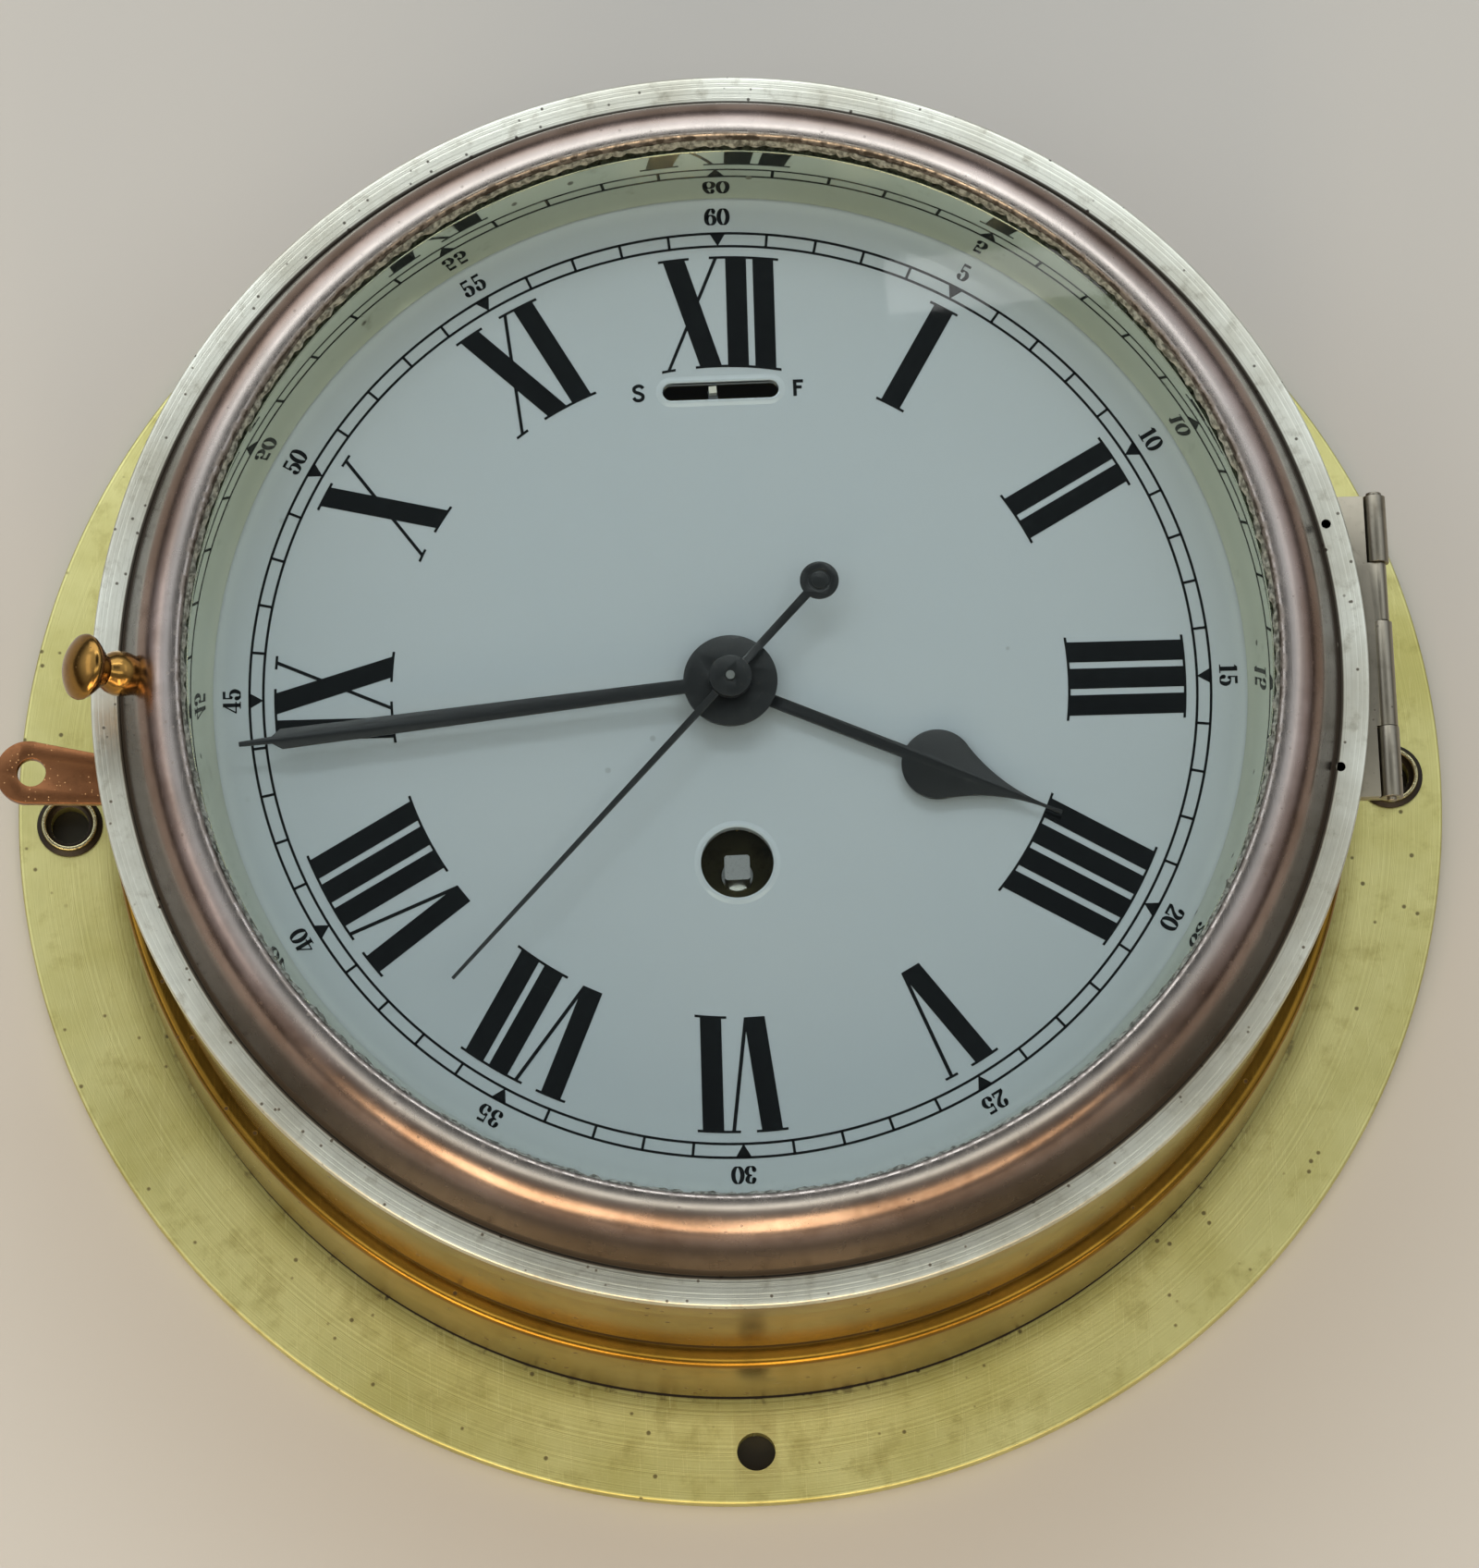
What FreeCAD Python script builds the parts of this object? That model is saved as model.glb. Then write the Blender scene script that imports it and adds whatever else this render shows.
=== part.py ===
import FreeCAD, Part
import math
import os

# A ship's deck clock: a flanged brass case, a hinged bezel and an eight-day lever movement.
#
# The frame has +Z up and the dial faces -Y. The origin is the centre of the flange's back face.
# Lengths are millimetres. "front" is the plane nearer the viewer, so it has the lower Y.
# Angles on the dial are degrees clockwise from twelve, seen from the front, which is also the
# right-hand turn about +Y.

# ---------------------------------------------------------------- driving dimensions
# Case
FLANGE_R = 124.5
FLANGE_T = 3.0
WALL_SCREW_CIRCLE_R = 115.5
WALL_SCREW_HOLE_R = 3.3
CUP_R = 5.75
CUP_MOUTH_R = 4.25
CUP_T = 1.5
CASE_BORE_R = 100.3
BASE_NECK_R = 105.5
BASE_NECK_Y = -6.0
BAND_R = 106.5
BAND_FRONT_Y = -32.0
BAND_ROUND = 1.5
GROOVE_R = 102.5
GROOVE_FRONT_Y = -36.0
WALL_R = 103.8
WALL_FRONT_Y = -67.0
COLLAR_R = 105.5
COLLAR_BACK_Y = -68.0
COLLAR_FRONT_Y = -77.5
DIAL_WELL_R = 92.5
LEDGE_R = 84.0
LEDGE_T = 2.2
COVER_R = 96.8
COVER_T = 2.2
COVER_SCREWS = 6

# Dial
DIAL_FRONT_Y = -74.2
DIAL_T = 1.5
DIAL_BACK_Y = DIAL_FRONT_Y + DIAL_T
DIAL_R = 88.9
DIAL_FLAT_R = 85.8
WINDING_HOLE_R = 6.0
HOLE_LIP = 0.9
LIP_H = 0.25
SLOT_MIDDLE = (0.35, 52.1)
SLOT_LENGTH = 19.5
SLOT_HEIGHT = 3.0

# Bezel door
RIM_R = 106.0
RIM_BACK_Y = -77.6
RIM_FRONT_Y = -80.0
ROLL_FOOT_R = 100.9
FLANK_TOP = (97.9, -89.2)
CROWN_R = 91.28
CROWN_Y = -94.0
SHOULDER_RADIUS = 6.96
LIP_ROUND = 0.98
SIGHT_R = CROWN_R - LIP_ROUND
LIP_BACK_Y = -91.4
REBATE_R = 93.0
GLASS_FRONT_Y = -91.0
GLASS_BACK_Y = -89.0
SIGHT_FRONT_R = 89.4
SIGHT_BACK_R = 86.0
HOLLOW_INNER_R = 95.0
HOLLOW_TOP = (95.95, -87.0)
HOLLOW_OUTER_R = 99.2
KNOB_AT = 271.1
KNOB_FOOT = (-98.3, -88.0)
KNOB_TILT = 53.13
KNOB_STEM_R = 1.2
KNOB_STEM_L = 3.6

# Hinge: a butt hinge, let into the collar's front and the rim's back
HINGE_X = 108.6
HINGE_Y = -77.55
HINGE_LEAF_T = 1.2
HINGE_LEAF_INNER_X = 97.5
HINGE_BOTTOM_Z = -24.0
HINGE_TOP_Z = 28.0
KNUCKLE_R = 1.9
THIN_KNUCKLE_R = 1.35
HINGE_PIN_R = 0.8
RUNNING_GAP = 0.05
KNUCKLE_CUTS = (-12.0, 6.3, 16.5)
KNUCKLE_GAP = 0.15

# Latch
LATCH_PIVOT = (-95.5, -10.2)
LATCH_REACH = 28.0
LATCH_HOLE_AT = 22.0
LATCH_HOLE_R = 2.4
LATCH_HALF_WIDTH = 4.5
LATCH_WAIST = 3.3
LATCH_TAIL_R = 5.4
LATCH_BEARING = 278.0
LATCH_FRONT_Y = -63.8
LATCH_BACK_Y = -62.2

# Movement plates
PLATE_R = 54.0
PLATE_T = 2.0
FRONT_PLATE_Y = -62.0
BACK_PLATE_Y = -34.0
PILLAR_CIRCLE_R = 47.0
PILLAR_R = 3.0
SCREW_R = 1.0
SCREW_HEAD_R = 2.1
SCREW_HEAD_T = 1.0
PLATE_INNER_FRONT = FRONT_PLATE_Y + PLATE_T
PLATE_OUTER_BACK = BACK_PLATE_Y + PLATE_T
ENDSHAKE = 0.2

# Going train: teeth and modules
GREAT_TEETH = 72
INTER_LEAVES = 12
GREAT_MODULE = 0.6
INTER_TEETH = 70
SECOND_LEAVES = 10
SECOND_TEETH = 64
THIRD_LEAVES = 8
FINE_MODULE = 0.4
THIRD_TEETH = 60
FOURTH_LEAVES = 8
FOURTH_MODULE = 0.36
FOURTH_TEETH = 70
ESCAPE_LEAVES = 7
ESCAPE_MODULE = 0.3
CANNON_LEAVES = 12
MINUTE_TEETH = 36
CANNON_MODULE = 0.6
MINUTE_LEAVES = 10
HOUR_TEETH = 40
ESCAPE_TEETH = 15
RATCHET_TEETH = 24

# Tooth form, in shares of the pitch and in modules
WHEEL_SHARE = 0.43
LEAF_SHARE = 0.36
WHEEL_TIP = 1.0
LEAF_TIP = 0.5
WHEEL_ROOT = 1.0
LEAF_ROOT = 1.4

# Arbor places
DIAL_CENTRE = (0.0, 0.0)
BARREL_AT = (0.0, -30.0)
BALANCE_AT = (0.0, 34.0)
THIRD_BEARING = 290.0
SECOND_BEARING = 250.0
PALLET_DISTANCE = 6.35

# Hands, as shown: about sixteen minutes to four
MINUTE_AT = 264.5
HOUR_AT = 114.0
SECOND_AT = 223.7
REGULATOR_AT = -3.0


# ---------------------------------------------------------------- helpers
def vec(x, y, z):
    return FreeCAD.Vector(x, y, z)


ALONG_Y = vec(0, 1, 0)
ALONG_Z = vec(0, 0, 1)
ORIGIN = vec(0, 0, 0)


def polar(radius, clockwise, centre=DIAL_CENTRE):
    """The (x, z) place at a radius and a dial angle round a centre."""
    angle = math.radians(clockwise)
    return centre[0] + radius * math.sin(angle), centre[1] + radius * math.cos(angle)


def bearing(start, end):
    """Dial angle of the line from one (x, z) place to another."""
    return math.degrees(math.atan2(end[0] - start[0], end[1] - start[1]))


def meeting(a, a_radius, b, b_radius, side):
    """Where two circles cross, on the clockwise side of the line a to b for side +1."""
    apart = math.dist(a, b)
    along = (a_radius ** 2 - b_radius ** 2 + apart ** 2) / (2 * apart)
    swing = math.degrees(math.acos(along / a_radius))
    return polar(a_radius, bearing(a, b) + side * swing, a)


def rod(radius, front, back, at=DIAL_CENTRE):
    """A round bar along Y."""
    return Part.makeCylinder(radius, back - front, vec(at[0], front, at[1]), ALONG_Y)


def tube(outer, inner, front, back, at=DIAL_CENTRE):
    return rod(outer, front, back, at).cut(rod(inner, front - 1, back + 1, at))


def block(x0, x1, front, back, z0, z1):
    return Part.makeBox(x1 - x0, back - front, z1 - z0, vec(x0, front, z0))


def plate(points, front, back):
    """A flat plate with a straight-sided (x, z) outline."""
    corners = [vec(x, front, z) for x, z in points]
    outline = Part.makePolygon(corners + corners[:1])
    return upright(Part.Face(outline).extrude(vec(0, back - front, 0)))


def upright(solid):
    """The same solid with its faces outward."""
    if solid.Volume < 0:
        solid.reverse()
    return solid


def turned(outline, at=DIAL_CENTRE):
    """Spin a closed (radius, y) outline about a Y axis. An ("arc", through, end) step is round."""
    edges = []
    last = vec(outline[0][0], outline[0][1], 0)
    for step in outline[1:] + outline[:1]:
        if step[0] == "arc":
            through = vec(step[1][0], step[1][1], 0)
            end = vec(step[2][0], step[2][1], 0)
            edges.append(Part.Arc(last, through, end).toShape())
        else:
            end = vec(step[0], step[1], 0)
            edges.append(Part.LineSegment(last, end).toShape())
        last = end
    solid = upright(Part.Face(Part.Wire(edges)).revolve(ORIGIN, ALONG_Y, 360))
    solid.translate(vec(at[0], 0, at[1]))
    return solid


def fused(first, *others):
    return first.multiFuse(list(others)).removeSplitter()


def at_clock(solid, clockwise, centre=DIAL_CENTRE):
    """Turn a solid clockwise about a Y axis."""
    turned_copy = solid.copy()
    turned_copy.rotate(vec(centre[0], 0, centre[1]), ALONG_Y, clockwise)
    return turned_copy


def ring_of(solid, angles):
    return [at_clock(solid, angle) for angle in angles]


def screw(at, head_front, shank_end, head_t=SCREW_HEAD_T, head_r=SCREW_HEAD_R, shank_r=SCREW_R):
    """A slotted cheese-head screw whose head faces the front, or the back if shank_end is lower."""
    facing_back = shank_end < head_front
    head_back = head_front - head_t if facing_back else head_front + head_t
    head = rod(head_r, min(head_front, head_back), max(head_front, head_back), at)
    shank = rod(shank_r, min(head_back, shank_end), max(head_back, shank_end), at)
    slot_w = head_r * 0.3
    slot_depth = head_t * 0.45
    slot_y = head_front - slot_depth if facing_back else head_front
    slot = block(at[0] - slot_w / 2, at[0] + slot_w / 2, slot_y, slot_y + slot_depth,
                 at[1] - head_r, at[1] + head_r)
    return fused(head, shank).cut(slot)


def save(node, *shapes):
    """Write one node. Every solid in it has to be whole and closed."""
    solids = [solid for shape in shapes for solid in shape.Solids]
    for solid in solids:
        if not solid.isValid() or not solid.isClosed() or solid.Volume <= 0:
            raise ValueError(node + " is not a closed solid")
    shape = solids[0] if len(solids) == 1 else Part.makeCompound(solids)
    shape.exportStep("parts/" + node + ".step")
    print(f"{node:24s} {len(solids):2d} solid(s) {shape.Volume:10.1f} mm3")


# ---------------------------------------------------------------- gears
def pitch_r(teeth, module):
    return teeth * module / 2


def gear_distance(teeth, leaves, module):
    return pitch_r(teeth + leaves, module)


def toothed(teeth, module, tooth_at, at, front, back, share=WHEEL_SHARE, tip=WHEEL_TIP, root=WHEEL_ROOT):
    """A toothed disc with radial flanks and pointed tips, one tooth at the dial angle tooth_at."""
    half = 180 * share / teeth
    reference = pitch_r(teeth, module)
    form = (
        (reference - root * module, -half),
        (reference, -half),
        (reference + tip * module, -half * 0.35),
        (reference + tip * module, half * 0.35),
        (reference, half),
        (reference - root * module, half),
    )
    points = []
    for tooth in range(teeth):
        middle = tooth_at + 360 * tooth / teeth
        points += [polar(radius, middle + turn, at) for radius, turn in form]
    return plate(points, front, back)


def pinion(leaves, module, tooth_at, at, front, back):
    return toothed(leaves, module, tooth_at, at, front, back, LEAF_SHARE, LEAF_TIP, LEAF_ROOT)


def meshed_tooth(tooth_at, start, end, start_teeth, end_teeth):
    """Dial angle of a tooth on the second gear that sets a gap against the first gear's tooth."""
    line = bearing(start, end)
    return line + 180 - (tooth_at - line) * start_teeth / end_teeth + 180 / end_teeth


def crossings(hub, rim, arms, arm_w, at, front, back, turn=0.0):
    """The windows between a wheel's arms."""
    windows = tube(rim, hub, front - 0.5, back + 0.5, at)
    bar = block(-arm_w / 2, arm_w / 2, front - 1, back + 1, 0, rim + 1)
    bar.translate(vec(at[0], 0, at[1]))
    bars = [at_clock(bar, turn + 360 * arm / arms, at) for arm in range(arms)]
    return windows.cut(fused(bars[0], *bars[1:]))


def train_wheel(teeth, module, tooth_at, at, front, thickness, arbor_r, hub_r=2.3, arms=4):
    """A wheel with its arms crossed out and a bore that fits its arbor."""
    back = front + thickness
    disc = toothed(teeth, module, tooth_at, at, front, back)
    rim = pitch_r(teeth, module) - (WHEEL_ROOT + 2.6) * module
    windows = crossings(hub_r, rim, arms, 1.2, at, front, back, tooth_at)
    return disc.cut(windows).cut(rod(arbor_r, front - 1, back + 1, at))


def arbor(at, body_r, pivot_r, front=PLATE_INNER_FRONT, back=BACK_PLATE_Y):
    """A shaft between the plates, with a pivot through each."""
    body = rod(body_r, front + ENDSHAKE, back - ENDSHAKE, at)
    pivots = rod(pivot_r, front - PLATE_T + 0.2, back + PLATE_T - 0.2, at)
    return fused(body, pivots)


# Centres of the train, each a gear distance from the one that it meshes with
GREAT_DISTANCE = gear_distance(GREAT_TEETH, INTER_LEAVES, GREAT_MODULE)
INTER_DISTANCE = gear_distance(INTER_TEETH, SECOND_LEAVES, FINE_MODULE)
SECOND_DISTANCE = gear_distance(SECOND_TEETH, THIRD_LEAVES, FINE_MODULE)
THIRD_DISTANCE = gear_distance(THIRD_TEETH, FOURTH_LEAVES, FOURTH_MODULE)
ESCAPE_DISTANCE = gear_distance(FOURTH_TEETH, ESCAPE_LEAVES, ESCAPE_MODULE)
MOTION_DISTANCE = gear_distance(MINUTE_TEETH, CANNON_LEAVES, CANNON_MODULE)
HOUR_MODULE = 2 * MOTION_DISTANCE / (HOUR_TEETH + MINUTE_LEAVES)

THIRD_AT = polar(THIRD_DISTANCE, THIRD_BEARING)
SECOND_ARBOR_AT = polar(SECOND_DISTANCE, SECOND_BEARING, THIRD_AT)
INTER_AT = meeting(SECOND_ARBOR_AT, INTER_DISTANCE, BARREL_AT, GREAT_DISTANCE, 1)
ESCAPE_AT = polar(ESCAPE_DISTANCE, 0.0)
PALLET_AT = polar(PALLET_DISTANCE, 0.0, ESCAPE_AT)
MINUTE_WHEEL_AT = meeting(DIAL_CENTRE, MOTION_DISTANCE, SECOND_ARBOR_AT, MOTION_DISTANCE, -1)

# Tooth places that put the whole train in mesh
GREAT_TOOTH = 0.0
INTER_TOOTH = meshed_tooth(GREAT_TOOTH, BARREL_AT, INTER_AT, GREAT_TEETH, INTER_LEAVES)
SECOND_TOOTH = meshed_tooth(0.0, INTER_AT, SECOND_ARBOR_AT, INTER_TEETH, SECOND_LEAVES)
THIRD_TOOTH = meshed_tooth(0.0, SECOND_ARBOR_AT, THIRD_AT, SECOND_TEETH, THIRD_LEAVES)
FOURTH_TOOTH = meshed_tooth(0.0, THIRD_AT, DIAL_CENTRE, THIRD_TEETH, FOURTH_LEAVES)
ESCAPE_TOOTH = meshed_tooth(0.0, DIAL_CENTRE, ESCAPE_AT, FOURTH_TEETH, ESCAPE_LEAVES)
MINUTE_TOOTH = meshed_tooth(0.0, SECOND_ARBOR_AT, MINUTE_WHEEL_AT, CANNON_LEAVES, MINUTE_TEETH)
CANNON_TOOTH = meshed_tooth(MINUTE_TOOTH, MINUTE_WHEEL_AT, DIAL_CENTRE, MINUTE_TEETH, CANNON_LEAVES)
HOUR_TOOTH = meshed_tooth(0.0, MINUTE_WHEEL_AT, DIAL_CENTRE, MINUTE_LEAVES, HOUR_TEETH)

# Y levels of the train, front planes
GREAT_Y = -40.0
GREAT_T = 1.5
BARREL_FRONT_Y = -57.5
BARREL_DRUM_R = 18.0
BARREL_WALL = 1.2
BARREL_ARBOR_R = 2.6
BARREL_CORE_R = 5.0
INTER_WHEEL_Y = -36.9
SECOND_WHEEL_Y = -48.6
THIRD_WHEEL_Y = -52.0
FOURTH_WHEEL_Y = -54.8
ESCAPE_WHEEL_Y = -57.4
WHEEL_T = 0.9
LEAF_OVERHANG = 0.6
MOTION_Y = -65.0
HOUR_WHEEL_Y = -67.4
RATCHET_Y = -64.8
RATCHET_R = 9.0
RATCHET_T = 1.6
BALANCE_Y = -66.6
BALANCE_R = 11.0
COCK_FRONT_Y = -70.6
COCK_T = 1.4
STEEL_ARBOR_R = 1.2
FINE_ARBOR_R = 0.6
SECONDS_ARBOR_R = 0.75
CANNON_PIPE_R = 2.2
HOUR_PIPE_R = 3.2
HAND_T = 0.5
HOUR_HAND_Y = -76.6
MINUTE_HAND_Y = -79.0
SECONDS_HAND_Y = -81.2
QUARTERS = (45, 135, 225, 315)
POST_ANGLES = (60, 120, 240, 300)
DOG_ANGLES = (30, 150, 270)


# ---------------------------------------------------------------- case
def case_shell():
    """Flange, drum and front collar, turned in one piece."""
    band_corner = BAND_ROUND * (1 - math.sqrt(0.5))
    shell = turned([
        (COVER_R + 0.2, 0.0),
        (FLANGE_R - 0.4, 0.0),
        (FLANGE_R, -0.4),
        (FLANGE_R, -FLANGE_T + 0.5),
        (FLANGE_R - 0.5, -FLANGE_T),
        (BASE_NECK_R, -FLANGE_T),
        (BASE_NECK_R, BASE_NECK_Y),
        (BAND_R, BASE_NECK_Y),
        (BAND_R, BAND_FRONT_Y + BAND_ROUND),
        ("arc", (BAND_R - band_corner, BAND_FRONT_Y + band_corner), (BAND_R - BAND_ROUND, BAND_FRONT_Y)),
        (GROOVE_R, BAND_FRONT_Y),
        (GROOVE_R, GROOVE_FRONT_Y),
        (WALL_R, GROOVE_FRONT_Y),
        (WALL_R, WALL_FRONT_Y),
        (WALL_R - 0.8, WALL_FRONT_Y),
        (WALL_R - 0.8, COLLAR_BACK_Y),
        (COLLAR_R, COLLAR_BACK_Y),
        (COLLAR_R, COLLAR_FRONT_Y + 0.4),
        (COLLAR_R - 0.4, COLLAR_FRONT_Y),
        (DIAL_WELL_R, COLLAR_FRONT_Y),
        (DIAL_WELL_R, DIAL_BACK_Y),
        (LEDGE_R, DIAL_BACK_Y),
        (LEDGE_R, DIAL_BACK_Y + LEDGE_T),
        (CASE_BORE_R, DIAL_BACK_Y + LEDGE_T),
        (CASE_BORE_R, -COVER_T - 3.2),
        (COVER_R - 4.8, -COVER_T - 3.2),
        (COVER_R - 4.8, -COVER_T - 0.6),
        (COVER_R + 0.2, -COVER_T - 0.6),
    ])
    screw_hole = rod(WALL_SCREW_HOLE_R, -FLANGE_T - 1, 1, polar(WALL_SCREW_CIRCLE_R, 0))
    for hole in ring_of(screw_hole, (0, 90, 180, 270)):
        shell = shell.cut(hole)
    for place in cover_screw_places():
        shell = shell.cut(rod(SCREW_R, -COVER_T - 4, 0, place))
    shell = shell.cut(hinge_leaf(COLLAR_FRONT_Y, COLLAR_FRONT_Y + HINGE_LEAF_T, clearance=0.0))
    for place in hinge_screw_places():
        shell = shell.cut(rod(0.8, COLLAR_FRONT_Y, COLLAR_FRONT_Y + 4.5, place))
    lever_slot = block(-COLLAR_R - 1, -98.5, LATCH_FRONT_Y - 0.4, LATCH_BACK_Y + 0.4, -17.2, -3.6)
    strike_window = block(-99.2, -91.5, COLLAR_FRONT_Y - 1, DIAL_BACK_Y + LEDGE_T + 1, -7.5, 1.0)
    pivot_hole = rod(1.2, -75.0, -68.0, LATCH_PIVOT)
    return shell.cut(lever_slot).cut(strike_window).cut(pivot_hole)


def cover_screw_places():
    return [polar(COVER_R - 2.4, 30 + 360 * n / COVER_SCREWS) for n in range(COVER_SCREWS)]


def back_cover():
    """Round plate let into the back of the case, clear of the wall."""
    front = -COVER_T - 0.6
    cover = turned([
        (0.0, front),
        (COVER_R, front),
        (COVER_R, -0.9),
        (COVER_R - 0.3, -0.6),
        (0.0, -0.6),
    ])
    for place in cover_screw_places():
        cover = cover.cut(rod(SCREW_R, front - 1, 0, place))
        cover = cover.cut(rod(SCREW_HEAD_R + 0.1, -1.6, 0, place))
    return cover


def back_cover_screws():
    return [screw(place, -0.7, -COVER_T - 3.0, 0.9) for place in cover_screw_places()]


def screw_cups():
    """Raised cups round the wall screws at three and nine."""
    cup = turned([
        (WALL_SCREW_HOLE_R, -FLANGE_T),
        (CUP_R, -FLANGE_T),
        (CUP_R, -FLANGE_T - CUP_T + 0.4),
        (CUP_R - 0.4, -FLANGE_T - CUP_T),
        (CUP_MOUTH_R, -FLANGE_T - CUP_T),
    ], polar(WALL_SCREW_CIRCLE_R, 90))
    return [cup, at_clock(cup, 180)]


# ---------------------------------------------------------------- hinge
def hinge_knuckle(bottom, top, radius, bore):
    barrel = Part.makeCylinder(radius, top - bottom, vec(HINGE_X, HINGE_Y, bottom), ALONG_Z)
    hole = Part.makeCylinder(bore, top - bottom + 2, vec(HINGE_X, HINGE_Y, bottom - 1), ALONG_Z)
    return barrel, hole


def hinge_leaf(front, back, clearance):
    """The flat leaf, up to the pin's line."""
    return block(HINGE_LEAF_INNER_X - clearance, HINGE_X, front, back,
                 HINGE_BOTTOM_Z - clearance, HINGE_TOP_Z + clearance)


def hinge_screw_places():
    return [(100.2, z) for z in (-19.0, 2.0, 23.0)]


def hinge_half(front, back, own, other):
    """A leaf with its own knuckles, cut away round the other leaf's knuckles."""
    leaf = hinge_leaf(front, back, clearance=0.0)
    for bottom, top, _ in other:
        away = Part.makeCylinder(KNUCKLE_R + 0.35, top - bottom + 2 * KNUCKLE_GAP,
                                 vec(HINGE_X, HINGE_Y, bottom - KNUCKLE_GAP), ALONG_Z)
        leaf = leaf.cut(away)
    for place in hinge_screw_places():
        leaf = leaf.cut(rod(0.8, front - 1, back + 1, place))
    bore = HINGE_PIN_R if own is FIXED_KNUCKLES else HINGE_PIN_R + RUNNING_GAP
    for bottom, top, radius in own:
        barrel, hole = hinge_knuckle(bottom, top, radius, bore)
        leaf = leaf.fuse(barrel).cut(hole)
    return leaf.removeSplitter()


FIXED_KNUCKLES = (
    (HINGE_BOTTOM_Z, KNUCKLE_CUTS[0], KNUCKLE_R),
    (KNUCKLE_CUTS[2], HINGE_TOP_Z, KNUCKLE_R),
)
DOOR_KNUCKLES = (
    (KNUCKLE_CUTS[0] + KNUCKLE_GAP, KNUCKLE_CUTS[1] - KNUCKLE_GAP, KNUCKLE_R - 0.15),
    (KNUCKLE_CUTS[1] + KNUCKLE_GAP, KNUCKLE_CUTS[2] - KNUCKLE_GAP, THIN_KNUCKLE_R),
)


def hinge_leaf_case():
    return hinge_half(COLLAR_FRONT_Y, COLLAR_FRONT_Y + HINGE_LEAF_T, FIXED_KNUCKLES, DOOR_KNUCKLES)


def hinge_leaf_door():
    return hinge_half(RIM_BACK_Y - HINGE_LEAF_T, RIM_BACK_Y, DOOR_KNUCKLES, FIXED_KNUCKLES)


def hinge_pin():
    pin = Part.makeCylinder(HINGE_PIN_R, HINGE_TOP_Z - HINGE_BOTTOM_Z + 1.0,
                            vec(HINGE_X, HINGE_Y, HINGE_BOTTOM_Z - 0.5), ALONG_Z)
    head = Part.makeCylinder(1.3, 0.7, vec(HINGE_X, HINGE_Y, HINGE_TOP_Z), ALONG_Z)
    return fused(pin, head)


def hinge_screws_case():
    """Flush rivets that hold the fixed leaf to the collar."""
    return [rod(0.8, COLLAR_FRONT_Y, COLLAR_FRONT_Y + 4.5, place) for place in hinge_screw_places()]


def hinge_screws_door():
    """Rivets through the rim and the door leaf, finished flush with the rim."""
    return [rod(0.8, RIM_FRONT_Y, RIM_BACK_Y, place) for place in hinge_screw_places()]


# ---------------------------------------------------------------- bezel door
def round_point(centre, radius, degrees):
    """A point of a section's arc, degrees from the front towards the outside."""
    angle = math.radians(degrees)
    return centre[0] + radius * math.sin(angle), centre[1] - radius * math.cos(angle)


def bezel_blank():
    """Flat rim with a hollow ovolo roll inside it: a leaning flank, a round shoulder and a turned-in lip."""
    shoulder = (CROWN_R, CROWN_Y + SHOULDER_RADIUS)
    lip = (CROWN_R, CROWN_Y + LIP_ROUND)
    hollow_side = HOLLOW_TOP[0] - HOLLOW_INNER_R
    hollow_y = HOLLOW_TOP[1] + hollow_side
    return turned([
        (RIM_R, RIM_BACK_Y),
        (RIM_R, RIM_FRONT_Y + 0.4),
        ("arc", (RIM_R - 0.12, RIM_FRONT_Y + 0.12), (RIM_R - 0.4, RIM_FRONT_Y)),
        (ROLL_FOOT_R + 0.35, RIM_FRONT_Y),
        (ROLL_FOOT_R + 0.35, RIM_FRONT_Y + 0.3),
        (ROLL_FOOT_R, RIM_FRONT_Y + 0.3),
        (ROLL_FOOT_R, RIM_FRONT_Y),
        FLANK_TOP,
        ("arc", round_point(shoulder, SHOULDER_RADIUS, 36), (CROWN_R, CROWN_Y)),
        ("arc", round_point(lip, LIP_ROUND, -45), (SIGHT_R, lip[1])),
        (SIGHT_R, LIP_BACK_Y),
        (REBATE_R, LIP_BACK_Y),
        (REBATE_R, RIM_BACK_Y),
        (HOLLOW_INNER_R, RIM_BACK_Y),
        (HOLLOW_INNER_R, hollow_y),
        ("arc", HOLLOW_TOP, (HOLLOW_TOP[0] + hollow_side, hollow_y)),
        (HOLLOW_OUTER_R, RIM_BACK_Y),
    ])


def bezel_ring():
    ring = bezel_blank().cut(hinge_leaf(RIM_BACK_Y - HINGE_LEAF_T, RIM_BACK_Y, clearance=0.0))
    for place in hinge_screw_places():
        ring = ring.cut(rod(0.8, RIM_FRONT_Y - 1, RIM_BACK_Y + 1, place))
    return ring.cut(knob_stem()).cut(strike_foot())


def on_knob_axis(solid):
    """Lay a part that was turned along Y on to the knob's axis, out through the roll's flank."""
    solid.rotate(ORIGIN, vec(0, 0, 1), -KNOB_TILT)
    solid.translate(vec(KNOB_FOOT[0], KNOB_FOOT[1], 0))
    return at_clock(solid, KNOB_AT - 270)


def knob_stem():
    return on_knob_axis(rod(KNOB_STEM_R, 0, KNOB_STEM_L))


def bezel_knob():
    """A button on a rounded collar, seated on the flank, with its stem through the bezel's wall."""
    button = turned([
        (0.0, -12.5),
        ("arc", (2.9, -11.95), (5.0, -10.6)),
        ("arc", (5.5, -9.8), (5.0, -9.0)),
        ("arc", (3.6, -7.4), (2.7, -5.9)),
        ("arc", (3.9, -2.8), (3.2, 0.0)),
        (3.0, 1.5),
        (0.0, 1.5),
    ])
    pieces = on_knob_axis(button).cut(bezel_blank()).Solids
    seated = max(pieces, key=lambda piece: piece.Volume)
    return fused(seated, knob_stem())


def glass_pane():
    return rod(REBATE_R - 0.4, GLASS_FRONT_Y, GLASS_BACK_Y)


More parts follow.
